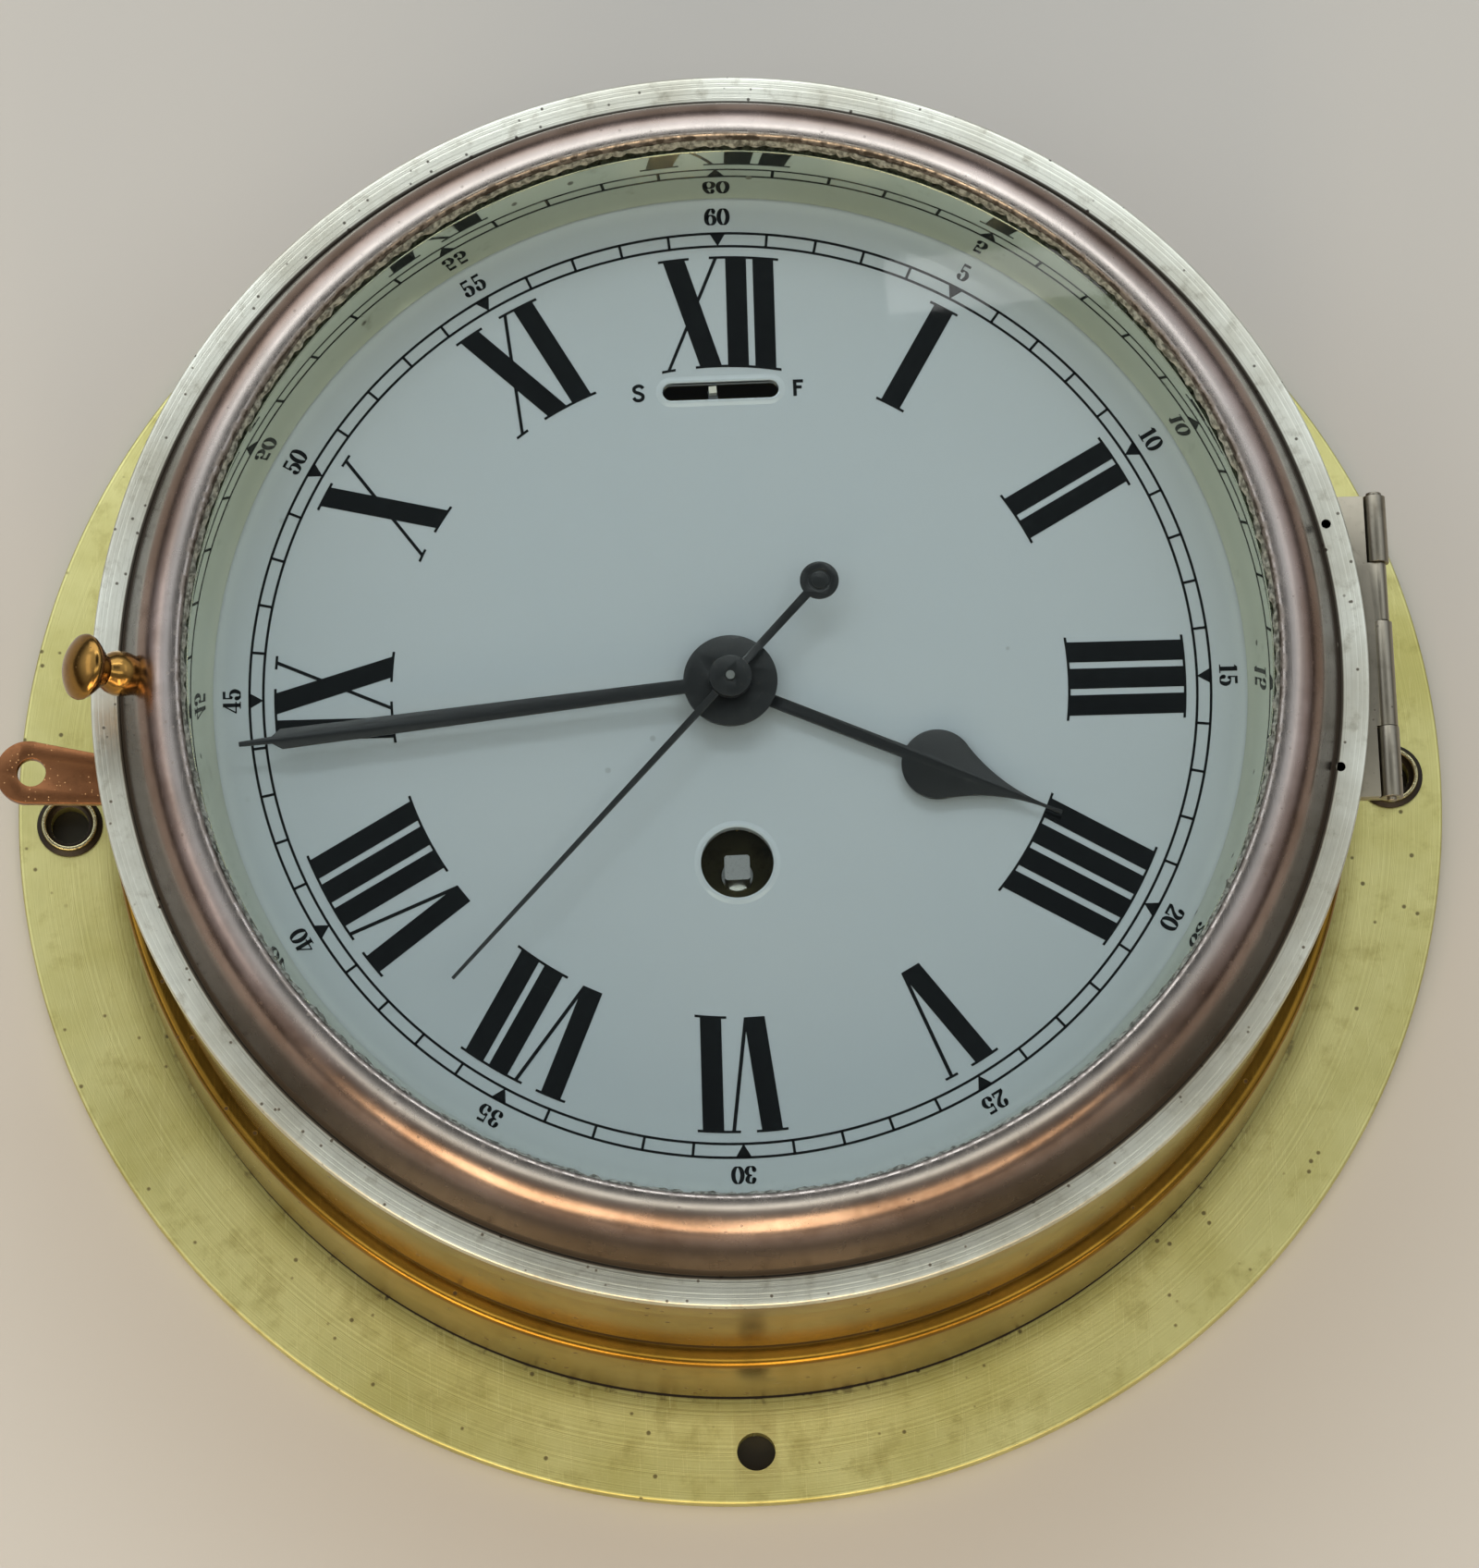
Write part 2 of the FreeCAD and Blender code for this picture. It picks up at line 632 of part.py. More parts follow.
def glass_gasket():
    """Putty bead between the glass and the bezel's lip."""
    return tube(REBATE_R - 0.1, SIGHT_R - 0.3, LIP_BACK_Y, GLASS_FRONT_Y)


def sight_ring():
    """Polished ring behind the glass, sloping in to the dial's edge."""
    return turned([
        (SIGHT_FRONT_R, GLASS_BACK_Y + 0.1),
        (REBATE_R - 0.05, GLASS_BACK_Y + 0.1),
        (REBATE_R - 0.05, RIM_FRONT_Y + 1.0),
        (REBATE_R - 0.75, RIM_FRONT_Y + 1.0),
        (REBATE_R - 0.75, GLASS_BACK_Y + 0.9),
        (SIGHT_FRONT_R + 0.75, GLASS_BACK_Y + 0.9),
        (SIGHT_BACK_R + 0.75, DIAL_FRONT_Y - 0.6),
        (SIGHT_BACK_R, DIAL_FRONT_Y - 0.6),
    ])


def strike_foot():
    return block(-98.2, -93.2, RIM_BACK_Y - 1.2, RIM_BACK_Y, -5.6, -0.6)


def latch_strike():
    """A notched tongue behind the rim, which the latch lever's nose catches."""
    tongue = block(-95.6, -93.6, RIM_BACK_Y, -60.6, -5.0, -1.2)
    notch = block(-95.7, -94.6, LATCH_FRONT_Y - 0.3, LATCH_BACK_Y + 0.3, -5.1, -1.1)
    tip = block(-95.7, -94.9, LATCH_BACK_Y + 0.3, -60.5, -5.1, -1.1)
    return fused(strike_foot(), tongue).cut(notch).cut(tip)


# ---------------------------------------------------------------- latch
def latch_lever():
    """Flat lever through the case wall: a rounded tail with a seal hole, and a catching nose."""
    front = LATCH_FRONT_Y
    back = LATCH_BACK_Y
    x, z = LATCH_PIVOT
    outer_end = LATCH_REACH - LATCH_TAIL_R
    arm = plate([
        (x - LATCH_WAIST, z),
        (x + LATCH_WAIST, z),
        (x + LATCH_TAIL_R, z + outer_end),
        (x - LATCH_TAIL_R, z + outer_end),
    ], front, back)
    tip = rod(LATCH_TAIL_R, front, back, (x, z + outer_end))
    boss = rod(LATCH_HALF_WIDTH, front, back, LATCH_PIVOT)
    tail = at_clock(fused(arm, tip, boss), LATCH_BEARING, LATCH_PIVOT)
    nose = plate([
        (x - 1.8, z + 2.0), (x + 1.0, z + 2.0),
        (x + 0.7, z + 8.4), (x - 1.6, z + 8.4),
    ], front, back)
    lever = fused(tail, nose)
    seal_hole = rod(LATCH_HOLE_R, front - 1, back + 1, polar(LATCH_HOLE_AT, LATCH_BEARING, LATCH_PIVOT))
    return lever.cut(seal_hole).cut(rod(1.2 + RUNNING_GAP, front - 1, back + 1, LATCH_PIVOT))


def latch_pivot_post():
    """Shouldered post on the ledge, with a riveted washer over the lever."""
    ledge_back = DIAL_BACK_Y + LEDGE_T
    post = rod(2.2, ledge_back, LATCH_FRONT_Y - 0.05, LATCH_PIVOT)
    stem = rod(1.2, -74.0, LATCH_BACK_Y + 0.8, LATCH_PIVOT)
    washer = rod(2.4, LATCH_BACK_Y + 0.05, LATCH_BACK_Y + 0.8, LATCH_PIVOT)
    return fused(post, stem, washer)


# ---------------------------------------------------------------- dial
def slot_outline(grow, front, back):
    x, z = SLOT_MIDDLE
    radius = SLOT_HEIGHT / 2 + grow
    reach = (SLOT_LENGTH - SLOT_HEIGHT) / 2
    bar = block(x - reach, x + reach, front, back, z - radius, z + radius)
    ends = [rod(radius, front, back, (x + side * reach, z)) for side in (-1, 1)]
    return fused(bar, *ends)


def dial_plate():
    """Enamelled plate with its edge rolled back, and raised lips round its openings."""
    disc = turned([
        (0.0, DIAL_FRONT_Y),
        (DIAL_FLAT_R, DIAL_FRONT_Y),
        ("arc", (DIAL_R - 0.95, DIAL_FRONT_Y + 0.32), (DIAL_R, DIAL_FRONT_Y + 1.0)),
        (DIAL_R, DIAL_BACK_Y),
        (0.0, DIAL_BACK_Y),
    ])
    hole_lip = rod(WINDING_HOLE_R + HOLE_LIP, DIAL_FRONT_Y - LIP_H, DIAL_BACK_Y, BARREL_AT)
    slot_lip = slot_outline(0.7, DIAL_FRONT_Y - LIP_H, DIAL_BACK_Y)
    disc = fused(disc, hole_lip, slot_lip)
    disc = disc.cut(rod(WINDING_HOLE_R, DIAL_FRONT_Y - 2, DIAL_BACK_Y + 1, BARREL_AT))
    disc = disc.cut(slot_outline(0.0, DIAL_FRONT_Y - 2, DIAL_BACK_Y + 1))
    return disc.cut(rod(4.3, DIAL_FRONT_Y - 2, DIAL_BACK_Y + 1))


def dog_foot_place():
    return polar(80.5, 0)


def dial_feet():
    """Short feet that a dog is screwed to, behind the ledge."""
    foot = rod(2.5, DIAL_BACK_Y, DIAL_BACK_Y + LEDGE_T + 0.1, dog_foot_place())
    foot = foot.cut(rod(SCREW_R, DIAL_BACK_Y + 0.4, DIAL_BACK_Y + LEDGE_T + 1, dog_foot_place()))
    return ring_of(foot, DOG_ANGLES)


def dial_dogs():
    """Clamps that hold the dial down to the ledge."""
    front = DIAL_BACK_Y + LEDGE_T + 0.1
    dog = block(-3.5, 3.5, front, front + 1.5, 77.0, 91.0)
    dog = dog.cut(rod(SCREW_R, front - 1, front + 3, dog_foot_place()))
    return ring_of(dog, DOG_ANGLES)


def dial_dog_screws():
    head = DIAL_BACK_Y + LEDGE_T + 0.1 + 1.5 + SCREW_HEAD_T
    return ring_of(screw(dog_foot_place(), head, DIAL_BACK_Y + 0.4), DOG_ANGLES)


# ---------------------------------------------------------------- movement frame
def post_place():
    return polar(PILLAR_CIRCLE_R, 0)


def movement_posts():
    """Posts that stand the movement off the dial."""
    post = rod(2.6, DIAL_BACK_Y, FRONT_PLATE_Y, post_place())
    post = post.cut(rod(SCREW_R, FRONT_PLATE_Y - 5, FRONT_PLATE_Y + 1, post_place()))
    return ring_of(post, POST_ANGLES)


def movement_screws():
    head = PLATE_INNER_FRONT + SCREW_HEAD_T
    return ring_of(screw(post_place(), head, FRONT_PLATE_Y - 5), POST_ANGLES)


def plate_pillars():
    pillar = rod(PILLAR_R, PLATE_INNER_FRONT, BACK_PLATE_Y, post_place())
    waist = tube(PILLAR_R + 1, PILLAR_R - 0.6, PLATE_INNER_FRONT + 6, BACK_PLATE_Y - 6, post_place())
    pillar = pillar.cut(waist)
    pillar = pillar.cut(rod(SCREW_R, PLATE_INNER_FRONT - 1, PLATE_INNER_FRONT + 5, post_place()))
    pillar = pillar.cut(rod(SCREW_R, BACK_PLATE_Y - 5, BACK_PLATE_Y + 1, post_place()))
    return ring_of(pillar, QUARTERS)


def plate_screws():
    front = screw(post_place(), FRONT_PLATE_Y - SCREW_HEAD_T, PLATE_INNER_FRONT + 5)
    back = screw(post_place(), PLATE_OUTER_BACK + SCREW_HEAD_T, BACK_PLATE_Y - 5)
    return ring_of(front, QUARTERS) + ring_of(back, QUARTERS)


def drilled(front, holes, screw_angles):
    """A round plate with a pivot hole for each (place, radius) and its screw holes."""
    blank = rod(PLATE_R, front, front + PLATE_T)
    for place, radius in holes:
        blank = blank.cut(rod(radius, front - 1, front + PLATE_T + 1, place))
    for hole in ring_of(rod(SCREW_R, front - 1, front + PLATE_T + 1, post_place()), screw_angles):
        blank = blank.cut(hole)
    return blank


def pivot_holes():
    return [
        (BARREL_AT, BARREL_ARBOR_R + RUNNING_GAP),
        (INTER_AT, 0.8 + RUNNING_GAP),
        (THIRD_AT, 0.5 + RUNNING_GAP),
        (ESCAPE_AT, 0.35 + RUNNING_GAP),
        (PALLET_AT, 0.35 + RUNNING_GAP),
    ]


def front_plate():
    """Front movement plate, with the stud that the minute wheel turns on."""
    holes = pivot_holes() + [
        (SECOND_ARBOR_AT, STEEL_ARBOR_R + RUNNING_GAP),
        (DIAL_CENTRE, SECONDS_ARBOR_R + RUNNING_GAP),
        (BALANCE_AT, 4.6),
    ]
    holes += [(place, SCREW_R) for place in cock_screw_places()]
    holes += [(CLICK_AT, SCREW_R), (CLICK_SPRING_AT, SCREW_R)]
    blank = drilled(FRONT_PLATE_Y, holes, QUARTERS + POST_ANGLES)
    stud = rod(1.0, HOUR_WHEEL_Y - 1.8, FRONT_PLATE_Y, MINUTE_WHEEL_AT)
    return fused(blank, stud)


def back_plate():
    holes = pivot_holes() + [
        (SECOND_ARBOR_AT, 0.8 + RUNNING_GAP),
        (DIAL_CENTRE, 0.5 + RUNNING_GAP),
        (BALANCE_AT, 0.35 + RUNNING_GAP),
    ]
    return drilled(BACK_PLATE_Y, holes, QUARTERS)


# ---------------------------------------------------------------- barrel and winding work
def barrel():
    """Spring barrel, with the great wheel's teeth round its back end."""
    back = GREAT_Y + GREAT_T
    great = toothed(GREAT_TEETH, GREAT_MODULE, GREAT_TOOTH, BARREL_AT, GREAT_Y, back)
    drum = rod(BARREL_DRUM_R, BARREL_FRONT_Y, back, BARREL_AT)
    hollow = rod(BARREL_DRUM_R - BARREL_WALL, BARREL_FRONT_Y - 1, back - 1.4, BARREL_AT)
    bore = rod(BARREL_ARBOR_R + RUNNING_GAP, BARREL_FRONT_Y - 1, back + 1, BARREL_AT)
    return fused(great, drum).cut(hollow).cut(bore)


def barrel_cap():
    radius = BARREL_DRUM_R - BARREL_WALL
    return tube(radius, BARREL_ARBOR_R + RUNNING_GAP, BARREL_FRONT_Y, BARREL_FRONT_Y + 1.2, BARREL_AT)


def spiral(start_r, end_r, turns, thickness, steps, at, front, back):
    """A flat coiled strip, with straight facets."""
    outer = []
    inner = []
    for n in range(int(turns * steps) + 1):
        along = n / (turns * steps)
        radius = start_r + (end_r - start_r) * along
        outer.append(polar(radius + thickness / 2, 360 * turns * along, at))
        inner.append(polar(radius - thickness / 2, 360 * turns * along, at))
    return plate(outer + inner[::-1], front, back)


def mainspring():
    return spiral(6.2, 16.0, 7, 0.45, 24, BARREL_AT, BARREL_FRONT_Y + 1.8, GREAT_Y - 0.6)


def winding_arbor():
    """Barrel arbor with its spring core, and the winding square behind the dial."""
    core = rod(BARREL_CORE_R, BARREL_FRONT_Y + 1.5, GREAT_Y - 0.3, BARREL_AT)
    shaft = rod(BARREL_ARBOR_R, RATCHET_Y - 0.8, PLATE_OUTER_BACK - 0.2, BARREL_AT)
    x, z = BARREL_AT
    square = block(x - 2.1, x + 2.1, DIAL_BACK_Y + 1.7, RATCHET_Y, z - 2.1, z + 2.1)
    square = square.common(rod(2.75, DIAL_BACK_Y + 1.7, RATCHET_Y, BARREL_AT))
    return fused(core, shaft, square)


def ratchet_wheel():
    points = []
    for tooth in range(RATCHET_TEETH):
        start = 360 * tooth / RATCHET_TEETH
        points.append(polar(RATCHET_R, start, BARREL_AT))
        points.append(polar(RATCHET_R - 1.1, start + 1.0, BARREL_AT))
    disc = plate(points, RATCHET_Y, RATCHET_Y + RATCHET_T)
    return disc.cut(rod(BARREL_ARBOR_R, RATCHET_Y - 1, RATCHET_Y + RATCHET_T + 1, BARREL_AT))


CLICK_AT = polar(13.5, 52, BARREL_AT)
CLICK_SPRING_AT = polar(20.0, 82, BARREL_AT)


def click():
    """Pawl that keeps the ratchet from running back, shown just lifted."""
    nose = polar(RATCHET_R + 0.25, 88, BARREL_AT)
    heel = polar(2.4, 52 + 150, CLICK_AT)
    back_of_nose = polar(RATCHET_R + 2.2, 92, BARREL_AT)
    shoulder = polar(2.4, 52 + 30, CLICK_AT)
    arm = plate([heel, nose, back_of_nose, shoulder], RATCHET_Y, RATCHET_Y + RATCHET_T)
    pawl = fused(arm, rod(2.6, RATCHET_Y, RATCHET_Y + RATCHET_T, CLICK_AT))
    return pawl.cut(rod(SCREW_R + RUNNING_GAP, RATCHET_Y - 1, RATCHET_Y + RATCHET_T + 1, CLICK_AT))


def click_screw():
    return screw(CLICK_AT, RATCHET_Y - 1.2, FRONT_PLATE_Y + 1.5)


def click_spring():
    """Bent strip, screwed to the plate, that presses the click home."""
    foot = rod(2.2, FRONT_PLATE_Y - 1.4, FRONT_PLATE_Y, CLICK_SPRING_AT)
    foot_pin = rod(SCREW_R, FRONT_PLATE_Y - 2.2, FRONT_PLATE_Y + 1.5, CLICK_SPRING_AT)
    start = CLICK_SPRING_AT
    reach = bearing(CLICK_SPRING_AT, polar(6.6, 60, CLICK_AT))
    end = polar(13.0, reach, CLICK_SPRING_AT)
    side = 0.25
    strip = plate([polar(side, reach - 90, start), polar(side, reach - 90, end),
                   polar(side, reach + 90, end), polar(side, reach + 90, start)],
                  FRONT_PLATE_Y - 1.4, FRONT_PLATE_Y - 0.2)
    return fused(foot, foot_pin, strip)


# ---------------------------------------------------------------- going train
def intermediate_wheel():
    return train_wheel(INTER_TEETH, FINE_MODULE, 0.0, INTER_AT, INTER_WHEEL_Y, WHEEL_T, STEEL_ARBOR_R)


def intermediate_arbor():
    leaves = pinion(INTER_LEAVES, GREAT_MODULE, INTER_TOOTH, INTER_AT,
                    GREAT_Y - LEAF_OVERHANG, GREAT_Y + GREAT_T + LEAF_OVERHANG)
    return fused(arbor(INTER_AT, STEEL_ARBOR_R, 0.8), leaves)


def second_wheel():
    return train_wheel(
        SECOND_TEETH, FINE_MODULE, 0.0, SECOND_ARBOR_AT, SECOND_WHEEL_Y, WHEEL_T, STEEL_ARBOR_R
    )


def second_arbor():
    """One turn an hour: a pinion in the train, and one in front that drives the minute work."""
    leaves = pinion(SECOND_LEAVES, FINE_MODULE, SECOND_TOOTH, SECOND_ARBOR_AT,
                    INTER_WHEEL_Y - LEAF_OVERHANG, INTER_WHEEL_Y + WHEEL_T + LEAF_OVERHANG)
    shaft = arbor(SECOND_ARBOR_AT, STEEL_ARBOR_R, 0.8)
    long_end = rod(STEEL_ARBOR_R, MOTION_Y - 1.0, PLATE_INNER_FRONT + 1, SECOND_ARBOR_AT)
    driver = pinion(CANNON_LEAVES, CANNON_MODULE, 0.0, SECOND_ARBOR_AT, MOTION_Y, FRONT_PLATE_Y - 0.4)
    return fused(shaft, leaves, long_end, driver)


def third_wheel():
    return train_wheel(THIRD_TEETH, FOURTH_MODULE, 0.0, THIRD_AT, THIRD_WHEEL_Y, WHEEL_T, FINE_ARBOR_R, 2.0)


def third_arbor():
    leaves = pinion(THIRD_LEAVES, FINE_MODULE, THIRD_TOOTH, THIRD_AT,
                    SECOND_WHEEL_Y - LEAF_OVERHANG, SECOND_WHEEL_Y + WHEEL_T + LEAF_OVERHANG)
    return fused(arbor(THIRD_AT, FINE_ARBOR_R, 0.5), leaves)


def fourth_wheel():
    return train_wheel(
        FOURTH_TEETH, ESCAPE_MODULE, 0.0, DIAL_CENTRE, FOURTH_WHEEL_Y, 0.7, SECONDS_ARBOR_R, hub_r=2.0
    )


def seconds_arbor():
    """Fourth arbor, long enough to carry the centre-seconds hand."""
    leaves = pinion(FOURTH_LEAVES, FOURTH_MODULE, FOURTH_TOOTH, DIAL_CENTRE,
                    THIRD_WHEEL_Y - LEAF_OVERHANG, THIRD_WHEEL_Y + WHEEL_T + LEAF_OVERHANG)
    shaft = rod(SECONDS_ARBOR_R, SECONDS_HAND_Y - 1.2, BACK_PLATE_Y - ENDSHAKE)
    pivot = rod(0.5, BACK_PLATE_Y - 1, PLATE_OUTER_BACK - 0.2)
    return fused(shaft, pivot, leaves)


def escape_wheel():
    points = []
    for tooth in range(ESCAPE_TEETH):
        start = 360 * tooth / ESCAPE_TEETH
        points.append(polar(3.7, start - 12.0, ESCAPE_AT))
        points.append(polar(5.0, start, ESCAPE_AT))
        points.append(polar(4.9, start + 3.5, ESCAPE_AT))
        points.append(polar(3.7, start + 3.0, ESCAPE_AT))
    back = ESCAPE_WHEEL_Y + 0.6
    disc = plate(points, ESCAPE_WHEEL_Y, back)
    windows = crossings(1.5, 2.9, 4, 0.7, ESCAPE_AT, ESCAPE_WHEEL_Y, back)
    return disc.cut(windows).cut(rod(FINE_ARBOR_R, ESCAPE_WHEEL_Y - 1, back + 1, ESCAPE_AT))


def escape_arbor():
    leaves = pinion(ESCAPE_LEAVES, ESCAPE_MODULE, ESCAPE_TOOTH, ESCAPE_AT,
                    FOURTH_WHEEL_Y - LEAF_OVERHANG, FOURTH_WHEEL_Y + 0.7 + LEAF_OVERHANG)
    return fused(arbor(ESCAPE_AT, FINE_ARBOR_R, 0.35), leaves)


# ---------------------------------------------------------------- lever escapement
def pallet_fork():
    """Lever with its arbor. Its two pallets stand just clear of the escape wheel."""
    x, z = PALLET_AT
    front = ESCAPE_WHEEL_Y
    back = front + 0.6
    shaft = plate([(x - 0.55, z), (x + 0.55, z), (x + 0.45, z + 11.2), (x - 0.45, z + 11.2)], front, back)
    head = plate([
        (x - 1.5, z + 10.9), (x + 1.5, z + 10.9),
        (x + 1.1, z + 12.5), (x - 1.1, z + 12.5),
    ], front, back)
    notch = block(x - 0.5, x + 0.5, front - 1, back + 1, z + 11.6, z + 13)
    arms = plate([
        (x - 3.9, z - 0.7), (x - 2.4, z + 0.9), (x + 2.4, z + 0.9), (x + 3.9, z - 0.7),
        (x + 3.4, z - 1.8), (x + 2.75, z - 1.5), (x + 2.2, z - 0.4),
        (x - 2.2, z - 0.4), (x - 2.75, z - 1.5), (x - 3.4, z - 1.8),
    ], front, back)
    return fused(arbor(PALLET_AT, FINE_ARBOR_R, 0.35), shaft, head, arms).cut(notch)


def balance_wheel():
    back = BALANCE_Y + 1.4
    rim = rod(BALANCE_R, BALANCE_Y, back, BALANCE_AT)
    windows = crossings(1.8, BALANCE_R - 1.5, 2, 1.4, BALANCE_AT, BALANCE_Y, back, 90)
    return rim.cut(windows).cut(rod(FINE_ARBOR_R, BALANCE_Y - 1, back + 1, BALANCE_AT))


def balance_staff():
    """Balance arbor with its roller and impulse pin."""
    shaft = rod(FINE_ARBOR_R, COCK_FRONT_Y + COCK_T + 0.2, BACK_PLATE_Y - ENDSHAKE, BALANCE_AT)
    pivots = rod(0.35, COCK_FRONT_Y + 0.2, PLATE_OUTER_BACK - 0.2, BALANCE_AT)
    roller = rod(3.8, ESCAPE_WHEEL_Y - 1.1, ESCAPE_WHEEL_Y - 0.4, BALANCE_AT)
    pin = rod(0.35, ESCAPE_WHEEL_Y - 0.5, ESCAPE_WHEEL_Y + 0.7, polar(3.2, 180, BALANCE_AT))
    return fused(shaft, pivots, roller, pin)


def hairspring():
    """Flat spiral with a collet on the staff."""
    front = BALANCE_Y - 1.7
    coil = spiral(1.6, 6.2, 6, 0.18, 24, BALANCE_AT, front, front + 0.7)
    collet = tube(1.55, FINE_ARBOR_R, front, front + 0.7, BALANCE_AT)
    return fused(coil, collet)


def cock_screw_places():
    return [(BALANCE_AT[0] + 17.5, BALANCE_AT[1] + dz) for dz in (-2.4, 4.4)]


def balance_cock():
    """Bridge that holds the balance's front pivot, with the hairspring's stud."""
    x, z = BALANCE_AT
    foot = block(x + 14.0, x + 21.0, COCK_FRONT_Y, FRONT_PLATE_Y, z - 5.2, z + 7.2)
    arm = block(x, x + 15.0, COCK_FRONT_Y, COCK_FRONT_Y + COCK_T, z - 3.2, z + 3.2)
    nose = rod(3.2, COCK_FRONT_Y, COCK_FRONT_Y + COCK_T, BALANCE_AT)
    stud = rod(0.5, COCK_FRONT_Y + 1, BALANCE_Y - 0.9, polar(7.6, 90, BALANCE_AT))
    cock = fused(foot, arm, nose, stud)
    cock = cock.cut(rod(0.35 + RUNNING_GAP, COCK_FRONT_Y - 1, BALANCE_Y, BALANCE_AT))
    for place in cock_screw_places():
        cock = cock.cut(rod(SCREW_R, COCK_FRONT_Y - 1, FRONT_PLATE_Y + 1, place))
    return cock


def cock_screws():
    head_front = COCK_FRONT_Y - SCREW_HEAD_T
    return [screw(place, head_front, PLATE_INNER_FRONT, head_r=1.8) for place in cock_screw_places()]


def regulator_index():
    """Rating lever over the cock. Its pale tip shows in the dial's slow-fast slot."""
    x, z = BALANCE_AT
    back = COCK_FRONT_Y - 0.1
    front = back - 0.7
    boss = rod(3.0, front, back, BALANCE_AT)
    arm = block(x - 0.8, x + 0.8, front, back, z, z + 19.1)
    tip = block(x - 0.65, x + 0.65, DIAL_FRONT_Y + 0.5, back, z + 17.9, z + 19.1)
    lever = fused(boss, arm, tip).cut(rod(0.6, front - 1, back + 1, BALANCE_AT))
    return at_clock(lever, REGULATOR_AT, BALANCE_AT)


# ---------------------------------------------------------------- motion work
def cannon_pinion():
    leaves = pinion(CANNON_LEAVES, CANNON_MODULE, CANNON_TOOTH, DIAL_CENTRE, MOTION_Y, FRONT_PLATE_Y - 0.4)
    pipe = rod(CANNON_PIPE_R, MINUTE_HAND_Y - 0.3, FRONT_PLATE_Y - 0.4)
    bore = rod(SECONDS_ARBOR_R + 0.08, MINUTE_HAND_Y - 1, FRONT_PLATE_Y + 1)
    return fused(leaves, pipe).cut(bore)


def minute_wheel():
    """Wheel and pinion of the motion work, loose on the front plate's stud."""
    front = MOTION_Y + 0.5
    wheel = toothed(MINUTE_TEETH, CANNON_MODULE, MINUTE_TOOTH, MINUTE_WHEEL_AT, front, front + 1.2)
    leaves = pinion(MINUTE_LEAVES, HOUR_MODULE, 0.0, MINUTE_WHEEL_AT, HOUR_WHEEL_Y - 0.6, front)
    hub = rod(1.8, HOUR_WHEEL_Y - 0.6, front, MINUTE_WHEEL_AT)
    bore = rod(1.0 + RUNNING_GAP, HOUR_WHEEL_Y - 3, front + 3, MINUTE_WHEEL_AT)
    windows = crossings(4.2, 7.8, 5, 1.4, MINUTE_WHEEL_AT, front, front + 1.2)
    return fused(wheel, leaves, hub).cut(windows).cut(bore)


def hour_wheel():
    disc = toothed(HOUR_TEETH, HOUR_MODULE, HOUR_TOOTH, DIAL_CENTRE, HOUR_WHEEL_Y, HOUR_WHEEL_Y + 1.2)
    pipe = rod(HOUR_PIPE_R, HOUR_HAND_Y - 0.2, HOUR_WHEEL_Y + 1.2)
    bore = rod(CANNON_PIPE_R + 0.08, HOUR_HAND_Y - 1, HOUR_WHEEL_Y + 3)
    return fused(disc, pipe).cut(bore)


# ---------------------------------------------------------------- hands
def mirrored(points):
    """Close a right-hand (x, z) edge, bottom to top, with its mirror."""
    return points + [(-x, z) for x, z in reversed(points)]


def minute_hand():
    """Blade that widens outward, with a narrow pointer beyond its shoulder."""
    front = MINUTE_HAND_Y
    back = front + HAND_T
    blade = plate(mirrored([(1.2, 5.0), (1.75, 75.0), (0.6, 76.6), (0.4, 82.1)]), front, back)
    boss = rod(7.85, front, back)
    hand = fused(blade, boss).cut(rod(CANNON_PIPE_R, front - 1, back + 1))
    return at_clock(hand, MINUTE_AT)


def spade_side(side):
    """The concave edge from the spade's shoulder to its tip, as an edge."""
    y = HOUR_HAND_Y
    return Part.Arc(vec(side * 5.3, y, 39.8), vec(side * 1.45, y, 48.2), vec(side * 0.35, y, 59.1)).toShape()


def hour_hand():
    """Spade hand: a thin stem, a round spade and a long drawn-out tip."""
    front = HOUR_HAND_Y
    back = front + HAND_T
    stem = block(-1.1, 1.1, front, back, 4.0, 34.0)
    spade = rod(6.0, front, back, (0.0, 37.0))
    left = spade_side(-1)
    right = spade_side(1)
    base = Part.LineSegment(vec(-5.3, front, 39.8), vec(5.3, front, 39.8)).toShape()
    tip = Part.LineSegment(vec(0.35, front, 59.1), vec(-0.35, front, 59.1)).toShape()
    outline = Part.Wire(Part.__sortEdges__([base, right, tip, left]))
    point = upright(Part.Face(outline).extrude(vec(0, HAND_T, 0)))
    boss = rod(6.3, front, back)
    hand = fused(stem, spade, point, boss).cut(rod(HOUR_PIPE_R, front - 1, back + 1))
    return at_clock(hand, HOUR_AT)


def seconds_hand():
    """Fine hand with a ringed counterpoise disc."""
    front = SECONDS_HAND_Y
    back = front + 0.4
    stem = plate(mirrored([(0.75, -20.0), (0.65, 0.0), (0.28, 68.7)]), front, back)
    disc = rod(3.25, front, back, (0.0, -22.3))
    ring = tube(1.9, 1.45, front - 0.15, front + 0.15, (0.0, -22.3))
    boss = rod(3.55, front - 0.7, back + 0.3)
    hand = fused(stem, disc, boss).cut(ring).cut(rod(SECONDS_ARBOR_R, front - 2, back + 2))
    return at_clock(hand, SECOND_AT)


